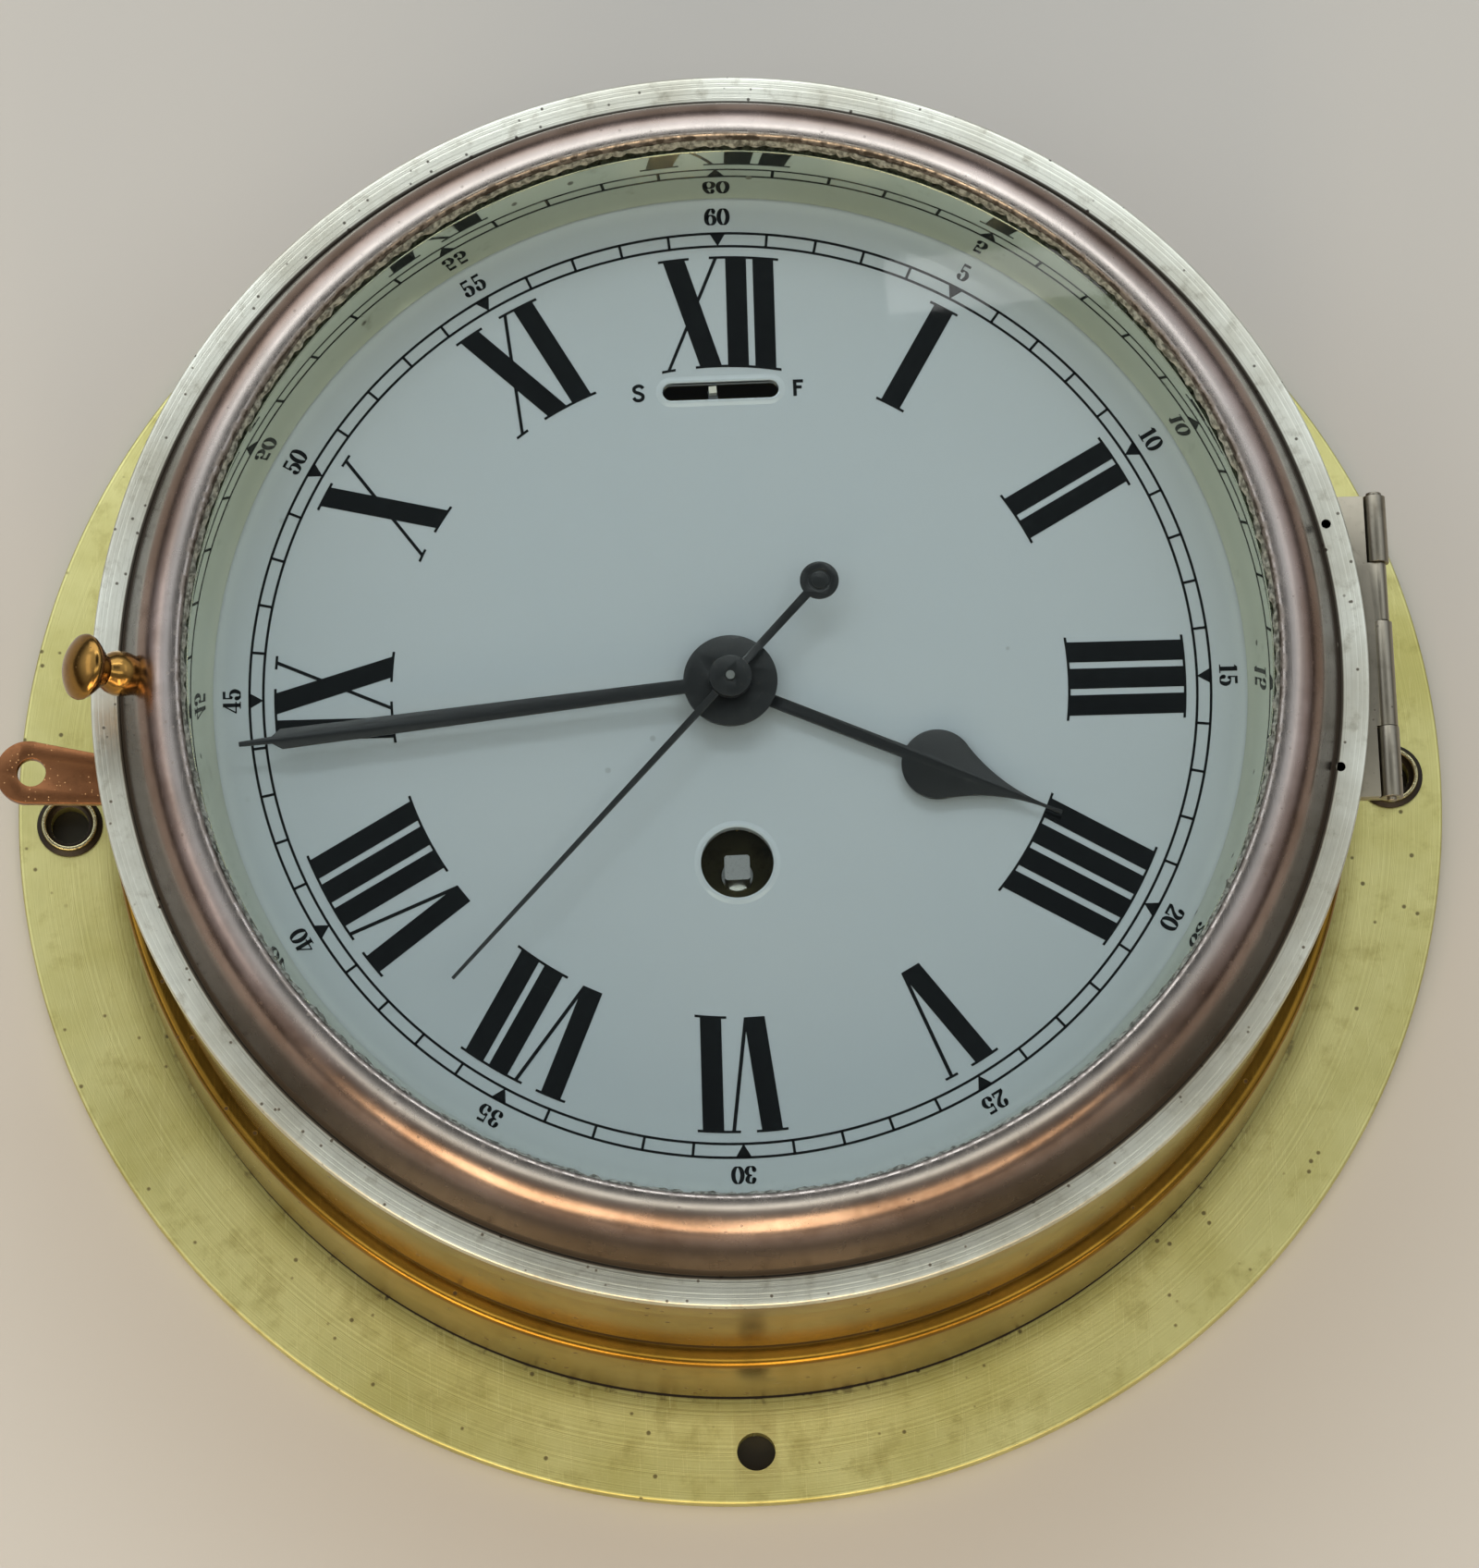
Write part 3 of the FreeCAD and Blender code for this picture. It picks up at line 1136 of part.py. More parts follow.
# ---------------------------------------------------------------- write every node
def main():
    os.makedirs("parts", exist_ok=True)
    single = (
        case_shell, back_cover, hinge_leaf_case, hinge_pin, latch_pivot_post, dial_plate,
        front_plate, back_plate, balance_cock, click_spring, click_screw,
        bezel_ring, glass_pane, glass_gasket, sight_ring, bezel_knob, hinge_leaf_door, latch_strike,
        latch_lever, regulator_index, balance_wheel, balance_staff, hairspring, pallet_fork,
        escape_wheel, escape_arbor, fourth_wheel, seconds_arbor, seconds_hand,
        third_wheel, third_arbor, second_wheel, second_arbor, intermediate_wheel, intermediate_arbor,
        barrel, barrel_cap, mainspring, winding_arbor, ratchet_wheel, click,
        cannon_pinion, minute_hand, minute_wheel, hour_wheel, hour_hand,
    )
    groups = (
        back_cover_screws, screw_cups, hinge_screws_case, hinge_screws_door,
        dial_feet, dial_dogs, dial_dog_screws, movement_posts, movement_screws,
        plate_pillars, plate_screws, cock_screws,
    )
    for make in single:
        save(make.__name__, make())
    for make in groups:
        save(make.__name__, *make())
    print(len(single) + len(groups), "nodes")


main()
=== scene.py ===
# %% [markdown]
# # A ship's deck clock
#
# The object is a bulkhead clock from a ship's cabin: a brass drum with a wide flange that is screwed to the
# wall, a hinged bezel with a polished roll, an enamelled dial and black hands. Every size that matters was
# settled in the CAD model, so this script starts from that model and never moves it. It rebuilds what the
# eye sees as smooth, dense meshes and gives the rest of the model its finishes.
#
# The frame has +Z up, and the dial faces -Y. Sizes below are in millimetres and `MM` turns them into metres.

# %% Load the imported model
import math

import bmesh
import bpy
from mathutils import Matrix, Vector, noise


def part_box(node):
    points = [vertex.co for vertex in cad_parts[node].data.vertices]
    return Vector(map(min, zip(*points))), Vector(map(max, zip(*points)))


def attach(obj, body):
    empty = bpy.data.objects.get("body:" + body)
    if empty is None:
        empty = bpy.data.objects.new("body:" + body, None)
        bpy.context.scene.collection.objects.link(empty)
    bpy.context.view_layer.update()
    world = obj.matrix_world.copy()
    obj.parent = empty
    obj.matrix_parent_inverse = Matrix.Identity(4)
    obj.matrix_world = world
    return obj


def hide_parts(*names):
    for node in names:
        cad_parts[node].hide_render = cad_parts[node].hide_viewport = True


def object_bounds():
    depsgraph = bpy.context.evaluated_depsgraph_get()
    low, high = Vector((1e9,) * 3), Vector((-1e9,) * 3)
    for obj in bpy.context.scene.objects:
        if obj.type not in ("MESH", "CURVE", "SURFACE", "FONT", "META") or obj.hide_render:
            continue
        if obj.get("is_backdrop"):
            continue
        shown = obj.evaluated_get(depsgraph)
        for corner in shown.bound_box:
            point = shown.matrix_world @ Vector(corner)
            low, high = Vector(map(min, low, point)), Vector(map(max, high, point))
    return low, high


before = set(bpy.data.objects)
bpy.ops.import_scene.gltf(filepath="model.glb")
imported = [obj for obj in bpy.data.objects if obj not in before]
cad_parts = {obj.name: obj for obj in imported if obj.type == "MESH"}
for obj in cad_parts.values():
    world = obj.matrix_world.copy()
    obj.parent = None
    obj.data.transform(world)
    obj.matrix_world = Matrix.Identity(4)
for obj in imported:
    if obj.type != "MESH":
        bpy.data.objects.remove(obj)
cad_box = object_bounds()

MM = 0.001
scene = bpy.context.scene

# %% [markdown]
# ## Reading sizes from the model
#
# A piece goes where the model says, so most sizes are read from the boxes of its nodes. Turned parts are
# round about a line along Y, so half of a box's width is a radius and its Y limits are the two end planes.

# %% Boxes and driving sizes


def span(node):
    """The low and high corners of a node, in millimetres."""
    low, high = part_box(node)
    return Vector(low) / MM, Vector(high) / MM


def radius_of(node):
    low, high = span(node)
    return (high.z - low.z) / 2


def centre_of(node):
    """The (x, z) middle of a node's box."""
    low, high = span(node)
    return (low.x + high.x) / 2, (low.z + high.z) / 2


FLANGE_R = radius_of("case_shell")
FLANGE_T = 3.0
CASE_FRONT = span("case_shell")[0].y
WALL_SCREW_R = 115.5
WALL_HOLE_R = 3.3
NECK_R = 105.5
BAND_R = 106.5
BAND_BACK = -6.0
BAND_FRONT = -32.0
GROOVE_R = 102.5
GROOVE_FRONT = -36.0
DRUM_R = 103.8
DRUM_FRONT = -67.0
COLLAR_R = 105.5
COLLAR_BACK = -68.0
WELL_R = 92.5
LEDGE_R = 84.0
LEDGE_BACK = -70.5
CASE_BORE_R = 100.3
COVER_R = radius_of("back_cover")
COVER_FRONT = span("back_cover")[0].y

RIM_R = radius_of("bezel_ring")
RIM_BACK = span("bezel_ring")[1].y
RIM_FRONT = -80.0
CROWN_Y = span("bezel_ring")[0].y
ROLL_FOOT_R = 100.9
FLANK_TOP = (97.9, -89.2)
CROWN_R = 91.28
SHOULDER_RADIUS = 6.96
LIP_ROUND = 0.98
SIGHT_R = CROWN_R - LIP_ROUND
LIP_BACK = -91.4
REBATE_R = 93.0
HOLLOW_INNER_R = 95.0
HOLLOW_TOP = (95.95, -87.0)
HOLLOW_OUTER_R = 99.2

DIAL_FRONT = -74.2
DIAL_BACK = span("dial_plate")[1].y
DIAL_R = radius_of("dial_plate")
DIAL_FLAT_R = 85.8
WINDING_AT = centre_of("winding_arbor")
WINDING_HOLE_R = 6.0
SLOT_AT = (0.35, 52.1)
SLOT_LENGTH = 19.5
SLOT_HEIGHT = 3.0
for part, size in (("flange", 2 * FLANGE_R), ("rim", 2 * RIM_R), ("dial", 2 * DIAL_R), ("crown", CROWN_Y)):
    print(f"{part}: {size:.1f} mm")

# %% [markdown]
# ## Shader maths that reads like Python
#
# A finish is a small calculation on the place of a point: how far it is from the axis, how much dirt lies
# there, how worn it is. Wiring Math nodes by hand hides that calculation, so one small class wraps a socket
# and overloads the operators. `1 - mask` then adds a Math node by itself. Every other node comes from one
# method that takes the node's type, its settings and the values or links of its sockets.

# %% The socket class


class Signal:
    """An output socket of a node tree that can be used in arithmetic."""

    def __init__(self, tree, socket=None):
        self.tree = tree
        self.socket = socket

    def node(self, kind, settings=None, sockets=None, output=0):
        """Add a node of any kind. Settings come first, because some of them change its sockets."""
        made = self.tree.nodes.new(kind)
        for name, value in (settings or {}).items():
            if name == "stops":
                ramp = made.color_ramp.elements
                while len(ramp) < len(value):
                    ramp.new(0.5)
                for stop, (position, colour) in zip(ramp, value):
                    stop.position = position
                    stop.color = colour
            else:
                setattr(made, name, value)
        for name, value in (sockets or {}).items():
            if isinstance(value, Signal):
                self.tree.links.new(value.socket, made.inputs[name])
            else:
                made.inputs[name].default_value = value
        return Signal(self.tree, made.outputs[output]) if made.outputs else None

    def math(self, operation, first, second=0.0):
        return self.node("ShaderNodeMath", {"operation": operation}, {0: first, 1: second})

    def __add__(self, other):
        return self.math("ADD", self, other)

    def __sub__(self, other):
        return self.math("SUBTRACT", self, other)

    def __rsub__(self, other):
        return self.math("SUBTRACT", other, self)

    def __mul__(self, other):
        return self.math("MULTIPLY", self, other)

    def __truediv__(self, other):
        return self.math("DIVIDE", self, other)

    __radd__ = __add__
    __rmul__ = __mul__


print("operators ready: + - * /")

# %% [markdown]
# ## Patterns shared by the finishes
#
# Real metal is never one colour. Turned parts carry fine rings from the lathe, handled parts carry dull
# clouds, and old brass has pits and specks. Each of these is noise at a different scale, read from Object
# coordinates so that it stays put on the part. A thickness of line or a cloud size is given in millimetres.

# %% Colours, masks and patterns


def shade(code):
    """A linear colour from a six-digit code."""
    parts = [int(code[n:n + 2], 16) / 255 for n in (0, 2, 4)]
    return tuple(c / 12.92 if c <= 0.04045 else ((c + 0.055) / 1.055) ** 2.4 for c in parts) + (1.0,)


class Surface:
    """Where a point is on the part, in the terms that the finishes use."""

    def __init__(self, tree):
        self.start = Signal(tree)
        self.place = self.start.node("ShaderNodeTexCoord", output=3)
        split = self.start.node("ShaderNodeSeparateXYZ", sockets={0: self.place})
        axes = split.socket.node.outputs
        self.x, self.y, self.z = (Signal(tree, axis) for axis in axes)
        flat = self.start.node(
            "ShaderNodeVectorMath", {"operation": "MULTIPLY"}, {0: self.place, 1: (1.0, 0.0, 1.0)}
        )
        self.radius = self.start.node("ShaderNodeVectorMath", {"operation": "LENGTH"}, {0: flat}, output=1)

    def between(self, value, low, high):
        """A mask that climbs smoothly from 0 at low to 1 at high."""
        settings = {"interpolation_type": "SMOOTHSTEP"}
        return self.start.node("ShaderNodeMapRange", settings, {"Value": value, 1: low, 2: high})

    def band(self, value, low, high, soft):
        """A mask that is 1 between two values and fades over soft."""
        return self.between(value, low - soft, low) * (1 - self.between(value, high, high + soft))

    def cloud(self, size, detail=4.0, stretch=(1.0, 1.0, 1.0)):
        """Noise whose blots are about size millimetres wide."""
        scaled = self.start.node(
            "ShaderNodeVectorMath", {"operation": "MULTIPLY"}, {0: self.place, 1: stretch}
        )
        sockets = {"Vector": scaled, "Scale": 1 / (size * MM), "Detail": detail, "Roughness": 0.6}
        return self.start.node("ShaderNodeTexNoise", {"normalize": True}, sockets)

    def rings(self, size):
        """Fine marks that run round the axis, as a lathe leaves them."""
        section = self.start.node("ShaderNodeCombineXYZ", sockets={0: self.radius, 1: self.y, 2: 0.0})
        sockets = {"Vector": section, "Scale": 1 / (size * MM), "Detail": 3.0, "Roughness": 0.7}
        return self.start.node("ShaderNodeTexNoise", {"noise_dimensions": "3D"}, sockets)

    def pits(self, size, share):
        """Small round spots: 1 inside a spot. A larger share means more spots."""
        sockets = {"Vector": self.place, "Scale": 1 / (size * MM), "Randomness": 1.0}
        cells = self.start.node("ShaderNodeTexVoronoi", {"feature": "F1"}, sockets)
        chance = self.start.node("ShaderNodeTexWhiteNoise", sockets={0: self.cell_place(size)})
        return (1 - self.between(cells, 0.10, 0.22)) * self.between(chance, 1 - share, 1 - share + 0.02)

    def cell_place(self, size):
        """The middle of the pattern's cell that a point lies in."""
        sockets = {"Vector": self.place, "Scale": 1 / (size * MM), "Randomness": 1.0}
        return self.start.node("ShaderNodeTexVoronoi", {"feature": "F1"}, sockets, output=2)

    def scratches(self, size, turn):
        """Thin hairlines that run one way."""
        sockets = {"Vector": self.place, "Rotation": (0.0, turn, 0.0), "Scale": (1.0, 1.0, 0.035)}
        turned = self.start.node("ShaderNodeMapping", {"vector_type": "POINT"}, sockets)
        sockets = {"Vector": turned, "Scale": 1 / (size * MM), "Detail": 2.0, "Roughness": 0.5}
        lines = self.start.node("ShaderNodeTexNoise", {"normalize": True}, sockets)
        return self.between(lines, 0.64, 0.70)

    def mix(self, mask, first, second):
        """Two colours, the second where the mask is 1."""
        sockets = {0: mask, 6: first, 7: second}
        return self.start.node("ShaderNodeMix", {"data_type": "RGBA"}, sockets, output=2)

    def bump(self, height, depth):
        """A normal from a height pattern that is depth millimetres deep."""
        sockets = {"Height": height, "Distance": depth * MM, "Strength": 1.0}
        return self.start.node("ShaderNodeBump", sockets=sockets)


def empty_material(name):
    """A new material with no nodes, and the surface that its nodes will describe."""
    material = bpy.data.materials.new(name)
    material.use_nodes = True
    material.node_tree.nodes.clear()
    return material, Surface(material.node_tree)


def finish(name, build, **settings):
    """Make a material: build fills a Principled shader's varying sockets, settings fill the even ones."""
    material, surface = empty_material(name)
    sockets = {"Base Color": (0.5, 0.5, 0.5, 1.0)}
    for word, value in settings.items():
        sockets[word.replace("_", " ").title()] = value
    sockets.update(build(surface))
    shader = surface.start.node("ShaderNodeBsdfPrincipled", sockets=sockets)
    surface.start.node("ShaderNodeOutputMaterial", sockets={"Surface": shader})
    return material


print("patterns ready: clouds, rings, pits, scratches")

# %% [markdown]
# ## The metals
#
# The flange is satin brass with a green-yellow cast, rubbed by years of polish, while the drum behind the
# bezel was never handled and keeps a golden, glossy skin. The neck, the groove and the step under the collar
# are painted near-black as painted shade in those recesses, and the flange is painted darker next to the drum
# as a painted shadow. All three are the same casting, so one finish covers them, and masks on the distance
# from the axis and along it choose between them.

# %% Case brass


def case_brass_build(s):
    flange = s.between(s.y, -4.5 * MM, -2.8 * MM)
    clouds = s.cloud(38.0, 5.0)
    fine = s.cloud(5.0, 6.0)
    satin = s.mix(s.between(clouds, 0.35, 0.7), shade("D6D292"), shade("BEB872"))
    satin = s.mix(s.between(fine, 0.50, 0.75) * 0.45, satin, shade("968C4C"))
    gold = s.mix(s.between(clouds, 0.3, 0.7), shade("9A742C"), shade("74561E"))
    gold = s.mix(s.between(fine, 0.5, 0.8) * 0.4, gold, shade("44320F"))
    colour = s.mix(flange, gold, satin)
    # Painted shade: the neck over the flange, the groove, the step under the collar and the foot of the neck
    # are painted near-black.
    sunk = 1 - s.between(s.radius, 0.1029, 0.1036)
    groove = s.band(s.y, GROOVE_FRONT * MM, BAND_FRONT * MM, 0.25 * MM) * sunk
    at_neck = s.band(s.radius, 0.1040, 0.1061, 0.0003)
    neck = s.band(s.y, (BAND_BACK - 0.1) * MM, (-FLANGE_T - 0.05) * MM, 0.2 * MM) * at_neck
    step = s.band(s.y, (COLLAR_BACK + 0.1) * MM, (DRUM_FRONT - 0.1) * MM, 0.2 * MM)
    foot = s.band(s.radius, 0.1040, 0.1061, 0.0004) * flange
    painted_recess_shade = groove * 0.9 + neck + step + foot * 0.9
    crumbs = s.between(s.cloud(2.2), 0.52, 0.68)
    edge_speck = s.band(s.radius, 0.1062, 0.1068, 0.0010) * flange * crumbs * 0.5
    specks = s.pits(2.4, 0.16) * 0.75
    # This mask holds the painted shade in the recesses together with real crumbs of dirt and pits.
    grime_and_shade = s.start.math("MINIMUM", painted_recess_shade + edge_speck + specks, 1.0)
    shadow = (1 - s.between(s.radius, 0.1068, 0.1115)) * flange
    colour = s.mix(shadow * 0.55, colour, shade("6E6228"))
    colour = s.mix(grime_and_shade, colour, shade("1E160C"))
    hair = s.scratches(0.35, 0.6) + s.scratches(0.3, -0.9) + s.scratches(0.4, 2.1)
    colour = s.mix(hair * 0.12 * flange * (1 - grime_and_shade), colour, shade("EDE6A8"))
    rough = 0.14 + flange * 0.21 + fine * 0.12 + s.rings(0.5) * 0.08 + grime_and_shade * 0.4
    height = fine * 0.3 + s.rings(0.5) * (0.4 + flange * 4.5) + hair * 0.3 - specks * 2
    return {
        "Base Color": colour,
        "Roughness": rough,
        "Metallic": 1 - grime_and_shade * 0.8,
        "Normal": s.bump(height, 0.012),
    }


case_brass = finish("case_brass_worn", case_brass_build)
# The black in the neck, the groove and the step is painted shade.
print("case brass: satin flange, golden drum, black paste in the neck, the groove and the step")

# %% [markdown]
# The bezel was nickel plated. The plate has worn thin: the flat rim is grey and pitted, and the roll, which
# hands and cloths rub most, shows a pinkish brown metal through. The roll is painted a lighter grey towards
# its crown, a painted reflection, and its outer flank is painted dark brown, a painted dark reflection. The
# line between rim and roll and the inner wall of the lip are painted dark as painted shade, and crumbs of
# dirt lie along the lip.

# %% Bezel nickel


def bezel_build(s):
    on_rim = s.between(s.radius, 0.1008, 0.1012)
    clouds = s.cloud(26.0, 5.0)
    fine = s.cloud(3.5, 6.0)
    streak = s.cloud(9.0, 3.0)
    rim = s.mix(s.between(clouds, 0.35, 0.7), shade("DEDFD2"), shade("C2C0B0"))
    rim = s.mix(s.between(fine, 0.52, 0.78) * 0.6, rim, shade("857F6C"))
    roll = s.mix(s.between(clouds, 0.3, 0.7), shade("9C8A82"), shade("7C685C"))
    roll = s.mix(s.between(streak, 0.45, 0.75) * 0.5, roll, shade("5E483A"))
    # Painted reflection: the roll is painted a lighter grey towards the crown.
    crown = 1 - s.between(s.radius, 0.0922, 0.0950)
    roll = s.mix(crown * 0.6, roll, shade("B4B0AA"))
    # Painted dark reflection: the outer flank of the roll is painted dark brown.
    flank = s.between(s.y, -0.0915, -0.0870)
    roll = s.mix(flank * 0.85, roll, shade("3E332B"))
    colour = s.mix(on_rim, roll, rim)
    # Painted shade: the crease between rim and roll and the inner wall of the lip are painted dark. The crumbs
    # on the lip and the pits are real dirt and wear.
    seam_shade = s.band(s.radius, 0.1006, 0.1015, 0.0003) * s.band(s.y, -0.0815, -0.0794, 0.0004)
    wall = 1 - s.between(s.radius, 0.09035, 0.0907)
    lip = (1 - s.between(s.radius, 0.0906, 0.0916)) * s.between(s.cloud(1.6, 4.0), 0.42, 0.62)
    pitted = s.pits(1.7, 0.30) * (0.2 + on_rim * 0.65)
    grime_and_shade = s.start.math("MINIMUM", seam_shade * 0.95 + wall * 0.7 + lip * 0.6 + pitted, 1.0)
    colour = s.mix(grime_and_shade, colour, shade("2A2014"))
    hair = s.scratches(0.3, 0.4) + s.scratches(0.35, -1.1)
    rough = 0.19 + on_rim * 0.14 + fine * 0.14 + grime_and_shade * 0.4
    height = fine * 0.4 + s.rings(0.5) * (0.3 + on_rim * 5.5) + hair * 0.25 - pitted
    return {
        "Base Color": colour,
        "Roughness": rough,
        "Metallic": 1 - grime_and_shade * 0.85,
        "Normal": s.bump(height, 0.014),
    }


worn_nickel = finish("bezel_nickel_worn", bezel_build)
print("bezel nickel: grey rim, warm roll")

# %% [markdown]
# The remaining metals differ only in colour, in how glossy they are and in how strongly the marks show, so
# one function makes them. Rolled or turned stock gets rings, sheet stock gets hairlines.

# %% Plain metals


def metal(name, bright, dull, dark, rough, cloud=12.0, wear=0.5, speck=0.1, turned=True):
    """A worn metal in three shades. wear is how much of the dull shade shows."""

    def build(s):
        clouds = s.cloud(cloud, 5.0)
        fine = s.cloud(cloud / 8, 5.0)
        colour = s.mix(s.between(clouds, 0.75 - wear * 0.5, 0.85), shade(bright), shade(dull))
        spots = s.pits(cloud / 6, speck)
        colour = s.mix(s.between(fine, 0.58, 0.8) * 0.5, colour, shade(dull))
        colour = s.mix(spots * 0.8, colour, shade(dark))
        marks = s.rings(0.3) if turned else s.scratches(0.25, 0.5)
        return {
            "Base Color": colour,
            "Roughness": rough + fine * 0.15 + spots * 0.3,
            "Metallic": 1 - spots * 0.6,
            "Normal": s.bump(fine * 0.4 + marks * 0.4 - spots, 0.008),
        }

    return finish(name, build)


knob_brass = metal("knob_brass_polished", "94703A", "6A4C24", "2C1A0A", 0.10, cloud=4.0, wear=0.5)
lever_copper = metal("lever_copper_brown", "8C5E3E", "5E3E28", "E0B078", 0.26, 4.0, wear=0.55, speck=0.35)
hinge_nickel = metal("hinge_nickel_grey", "8C8678", "665E50", "2A2218", 0.26, 8.0, speck=0.2, turned=False)
cover_brass = metal("cover_brass_dull", "B8A055", "8E7636", "3A2C14", 0.36, cloud=30.0)
movement_brass = metal("movement_brass_grained", "D8B55E", "C09A44", "6E5420", 0.24, cloud=18.0, wear=0.3)
movement_steel = metal("movement_steel_ground", "A4A5A2", "7A7974", "2C2C2A", 0.26, cloud=9.0, wear=0.4)
oiled_steel = metal("ratchet_steel_oiled", "4A4530", "2A2618", "0E0C08", 0.38, cloud=4.0, wear=0.6)
square_steel = metal("winding_square_bright", "DCDDDC", "AFAEA8", "3A3832", 0.22, cloud=2.0, wear=0.3)
spring_steel = metal("spring_steel_blued", "3E5690", "27365E", "10141E", 0.22, cloud=6.0, wear=0.4)


def sight_build(s):
    """Close to a mirror, with a few cloudy stains and specks."""
    stain = s.between(s.cloud(7.0, 4.0), 0.60, 0.78)
    specks = s.pits(3.0, 0.07)
    colour = s.mix(s.cloud(24.0), shade("E2E2CE"), shade("D2D0B2"))
    colour = s.mix(stain * 0.45, colour, shade("8A8668"))
    colour = s.mix(specks * 0.8, colour, shade("2C2A20"))
    return {
        "Base Color": colour,
        "Roughness": 0.035 + stain * 0.12 + specks * 0.4,
        "Metallic": 1 - specks * 0.8,
        "Normal": s.bump(s.cloud(6.0, 2.0), 0.004),
    }


sight_brass = finish("sight_ring_polished", sight_build)
print("plain metals ready, and the sight ring's mirror finish")

# %% [markdown]
# ## Enamel, lacquer, glass and putty
#
# The dial is steel with fired white enamel, cool in tone and glossy, with the faint ripple that melted glass
# keeps. Its edge rolls back and catches more light. The numerals are black enamel fired on top. Glass must
# stay clear: a Fresnel mix of a transparent and a mirror-like shader lets light through without noise, and
# it survives the export as see-through.

# %% Enamel and lacquer


def dial_build(s):
    clouds = s.cloud(45.0, 3.0)
    # Painted highlight: the rolled edge of the dial is painted whiter.
    edge = s.between(s.radius, 0.0835, 0.0868)
    colour = s.mix(clouds, shade("D6DFE8"), shade("DCE2E9"))
    colour = s.mix(edge, colour, shade("EEF5FA"))
    specks = s.pits(3.0, 0.015)
    colour = s.mix(specks * 0.5, colour, shade("5A5A54"))
    ripple = s.cloud(3.0, 2.0)
    return {
        "Base Color": colour,
        "Roughness": 0.10 + s.cloud(12.0) * 0.06,
        "Normal": s.bump(ripple, 0.010),
    }


def black_enamel_build(s):
    ripple = s.cloud(1.6, 2.0)
    colour = s.mix(s.cloud(3.0), shade("090B0C"), shade("12171A"))
    return {"Base Color": colour, "Roughness": 0.09 + ripple * 0.1, "Normal": s.bump(ripple, 0.03)}


def hand_build(s):
    worn = s.between(s.cloud(2.2, 5.0), 0.56, 0.78)
    hub = 1 - s.between(s.radius, 0.004, 0.0085)
    colour = s.mix(worn * 0.5, shade("0E1114"), shade("2A2A28"))
    colour = s.mix(hub * s.between(s.cloud(1.0), 0.55, 0.75) * 0.4, colour, shade("4A4038"))
    rough = 0.34 + worn * 0.2
    return {"Base Color": colour, "Roughness": rough, "Normal": s.bump(s.cloud(0.9), 0.006)}


def index_build(s):
    tip = 1 - s.between(s.y, -0.0726, -0.0718)
    colour = s.mix(tip, shade("8C8E92"), shade("F2EFE2"))
    colour = s.mix(s.between(s.cloud(0.8), 0.5, 0.8) * 0.3, colour, shade("A8A08A"))
    return {"Base Color": colour, "Roughness": 0.3 + tip * 0.2, "Metallic": (1 - tip) * 0.9}


def putty_build(s):
    lumps = s.cloud(0.9, 5.0)
    colour = s.mix(s.between(lumps, 0.35, 0.65), shade("3E4038"), shade("8C9088"))
    return {"Base Color": colour, "Roughness": 0.6 + lumps * 0.2, "Normal": s.bump(lumps, 0.15)}


dial_enamel = finish("dial_enamel_fired", dial_build, coat_weight=0.6, coat_roughness=0.03)
black_enamel = finish("numeral_enamel_black", black_enamel_build, coat_weight=0.8, coat_roughness=0.04)
hand_black = finish("hand_lacquer_black", hand_build, coat_weight=0.3, coat_roughness=0.15)
index_white = finish("index_pin_white", index_build)
putty = finish("glazing_putty_dry", putty_build)
print("enamel, lacquer and putty ready")

# %% Window glass


def window_glass_material():
    """Clear pane: transparent from the front, mirror-like at a slant, with dust towards the edge."""
    material, s = empty_material("window_glass_clear")
    clear = s.start.node("ShaderNodeBsdfTransparent", sockets={"Color": (0.965, 0.985, 0.975, 1.0)})
    dust = s.between(s.radius, 0.0865, 0.0905) * s.between(s.cloud(1.4), 0.52, 0.75)
    gloss = s.start.node(
        "ShaderNodeBsdfPrincipled",
        sockets={
            "Base Color": shade("F4F6F5"),
            "Roughness": 0.02 + dust * 0.4,
            "Metallic": 1.0,
            "Normal": s.bump(s.cloud(30.0, 1.0), 0.02),
        },
    )
    facing = s.start.node("ShaderNodeFresnel", sockets={"IOR": 1.5})
    share = s.start.math("MINIMUM", facing * 0.8 + dust * 0.15, 1.0)
    pane = s.start.node("ShaderNodeMixShader", sockets={0: share, 1: clear, 2: gloss})
    s.start.node("ShaderNodeOutputMaterial", sockets={"Surface": pane})
    return material


window_glass = window_glass_material()
print("glass ready")

# %% [markdown]
# ## Turning a part
#
# Most of this clock came off a lathe, so most of it is one closed outline of (radius, y) points spun
# round an axis. A corner may carry a third number, its radius, because no real edge is sharp: the small
# round is what catches the light. The mesh is merged, its normals are made to face out, and edges sharper
# than 35 degrees stay crisp.

# %% Lathe helpers

SHARP = math.radians(35)
ROUND_STEPS = 5


def rounded(outline, steps=ROUND_STEPS):
    """Replace each (radius, y, corner) point by a short arc that meets both of its sides."""
    points = []
    for n, point in enumerate(outline):
        here = Vector(point[:2])
        if len(point) == 2:
            points.append(here)
            continue
        before = Vector(outline[n - 1][:2]) - here
        after = Vector(outline[(n + 1) % len(outline)][:2]) - here
        cut = min(point[2], before.length * 0.45, after.length * 0.45)
        start = here + before.normalized() * cut
        end = here + after.normalized() * cut
        for step in range(steps + 1):
            t = step / steps
            points.append(start * (1 - t) ** 2 + here * 2 * t * (1 - t) + end * t ** 2)
    return points


def arc(centre, radius, start, end, steps):
    """Points round a centre between two angles: 0 lies along the first axis, 90 along minus the second."""
    turns = [math.radians(start + (end - start) * n / steps) for n in range(steps + 1)]
    return [(centre[0] + radius * math.cos(a), centre[1] - radius * math.sin(a)) for a in turns]


def new_object(name, mesh):
    made = bpy.data.objects.new(name, mesh)
    scene.collection.objects.link(made)
    return made


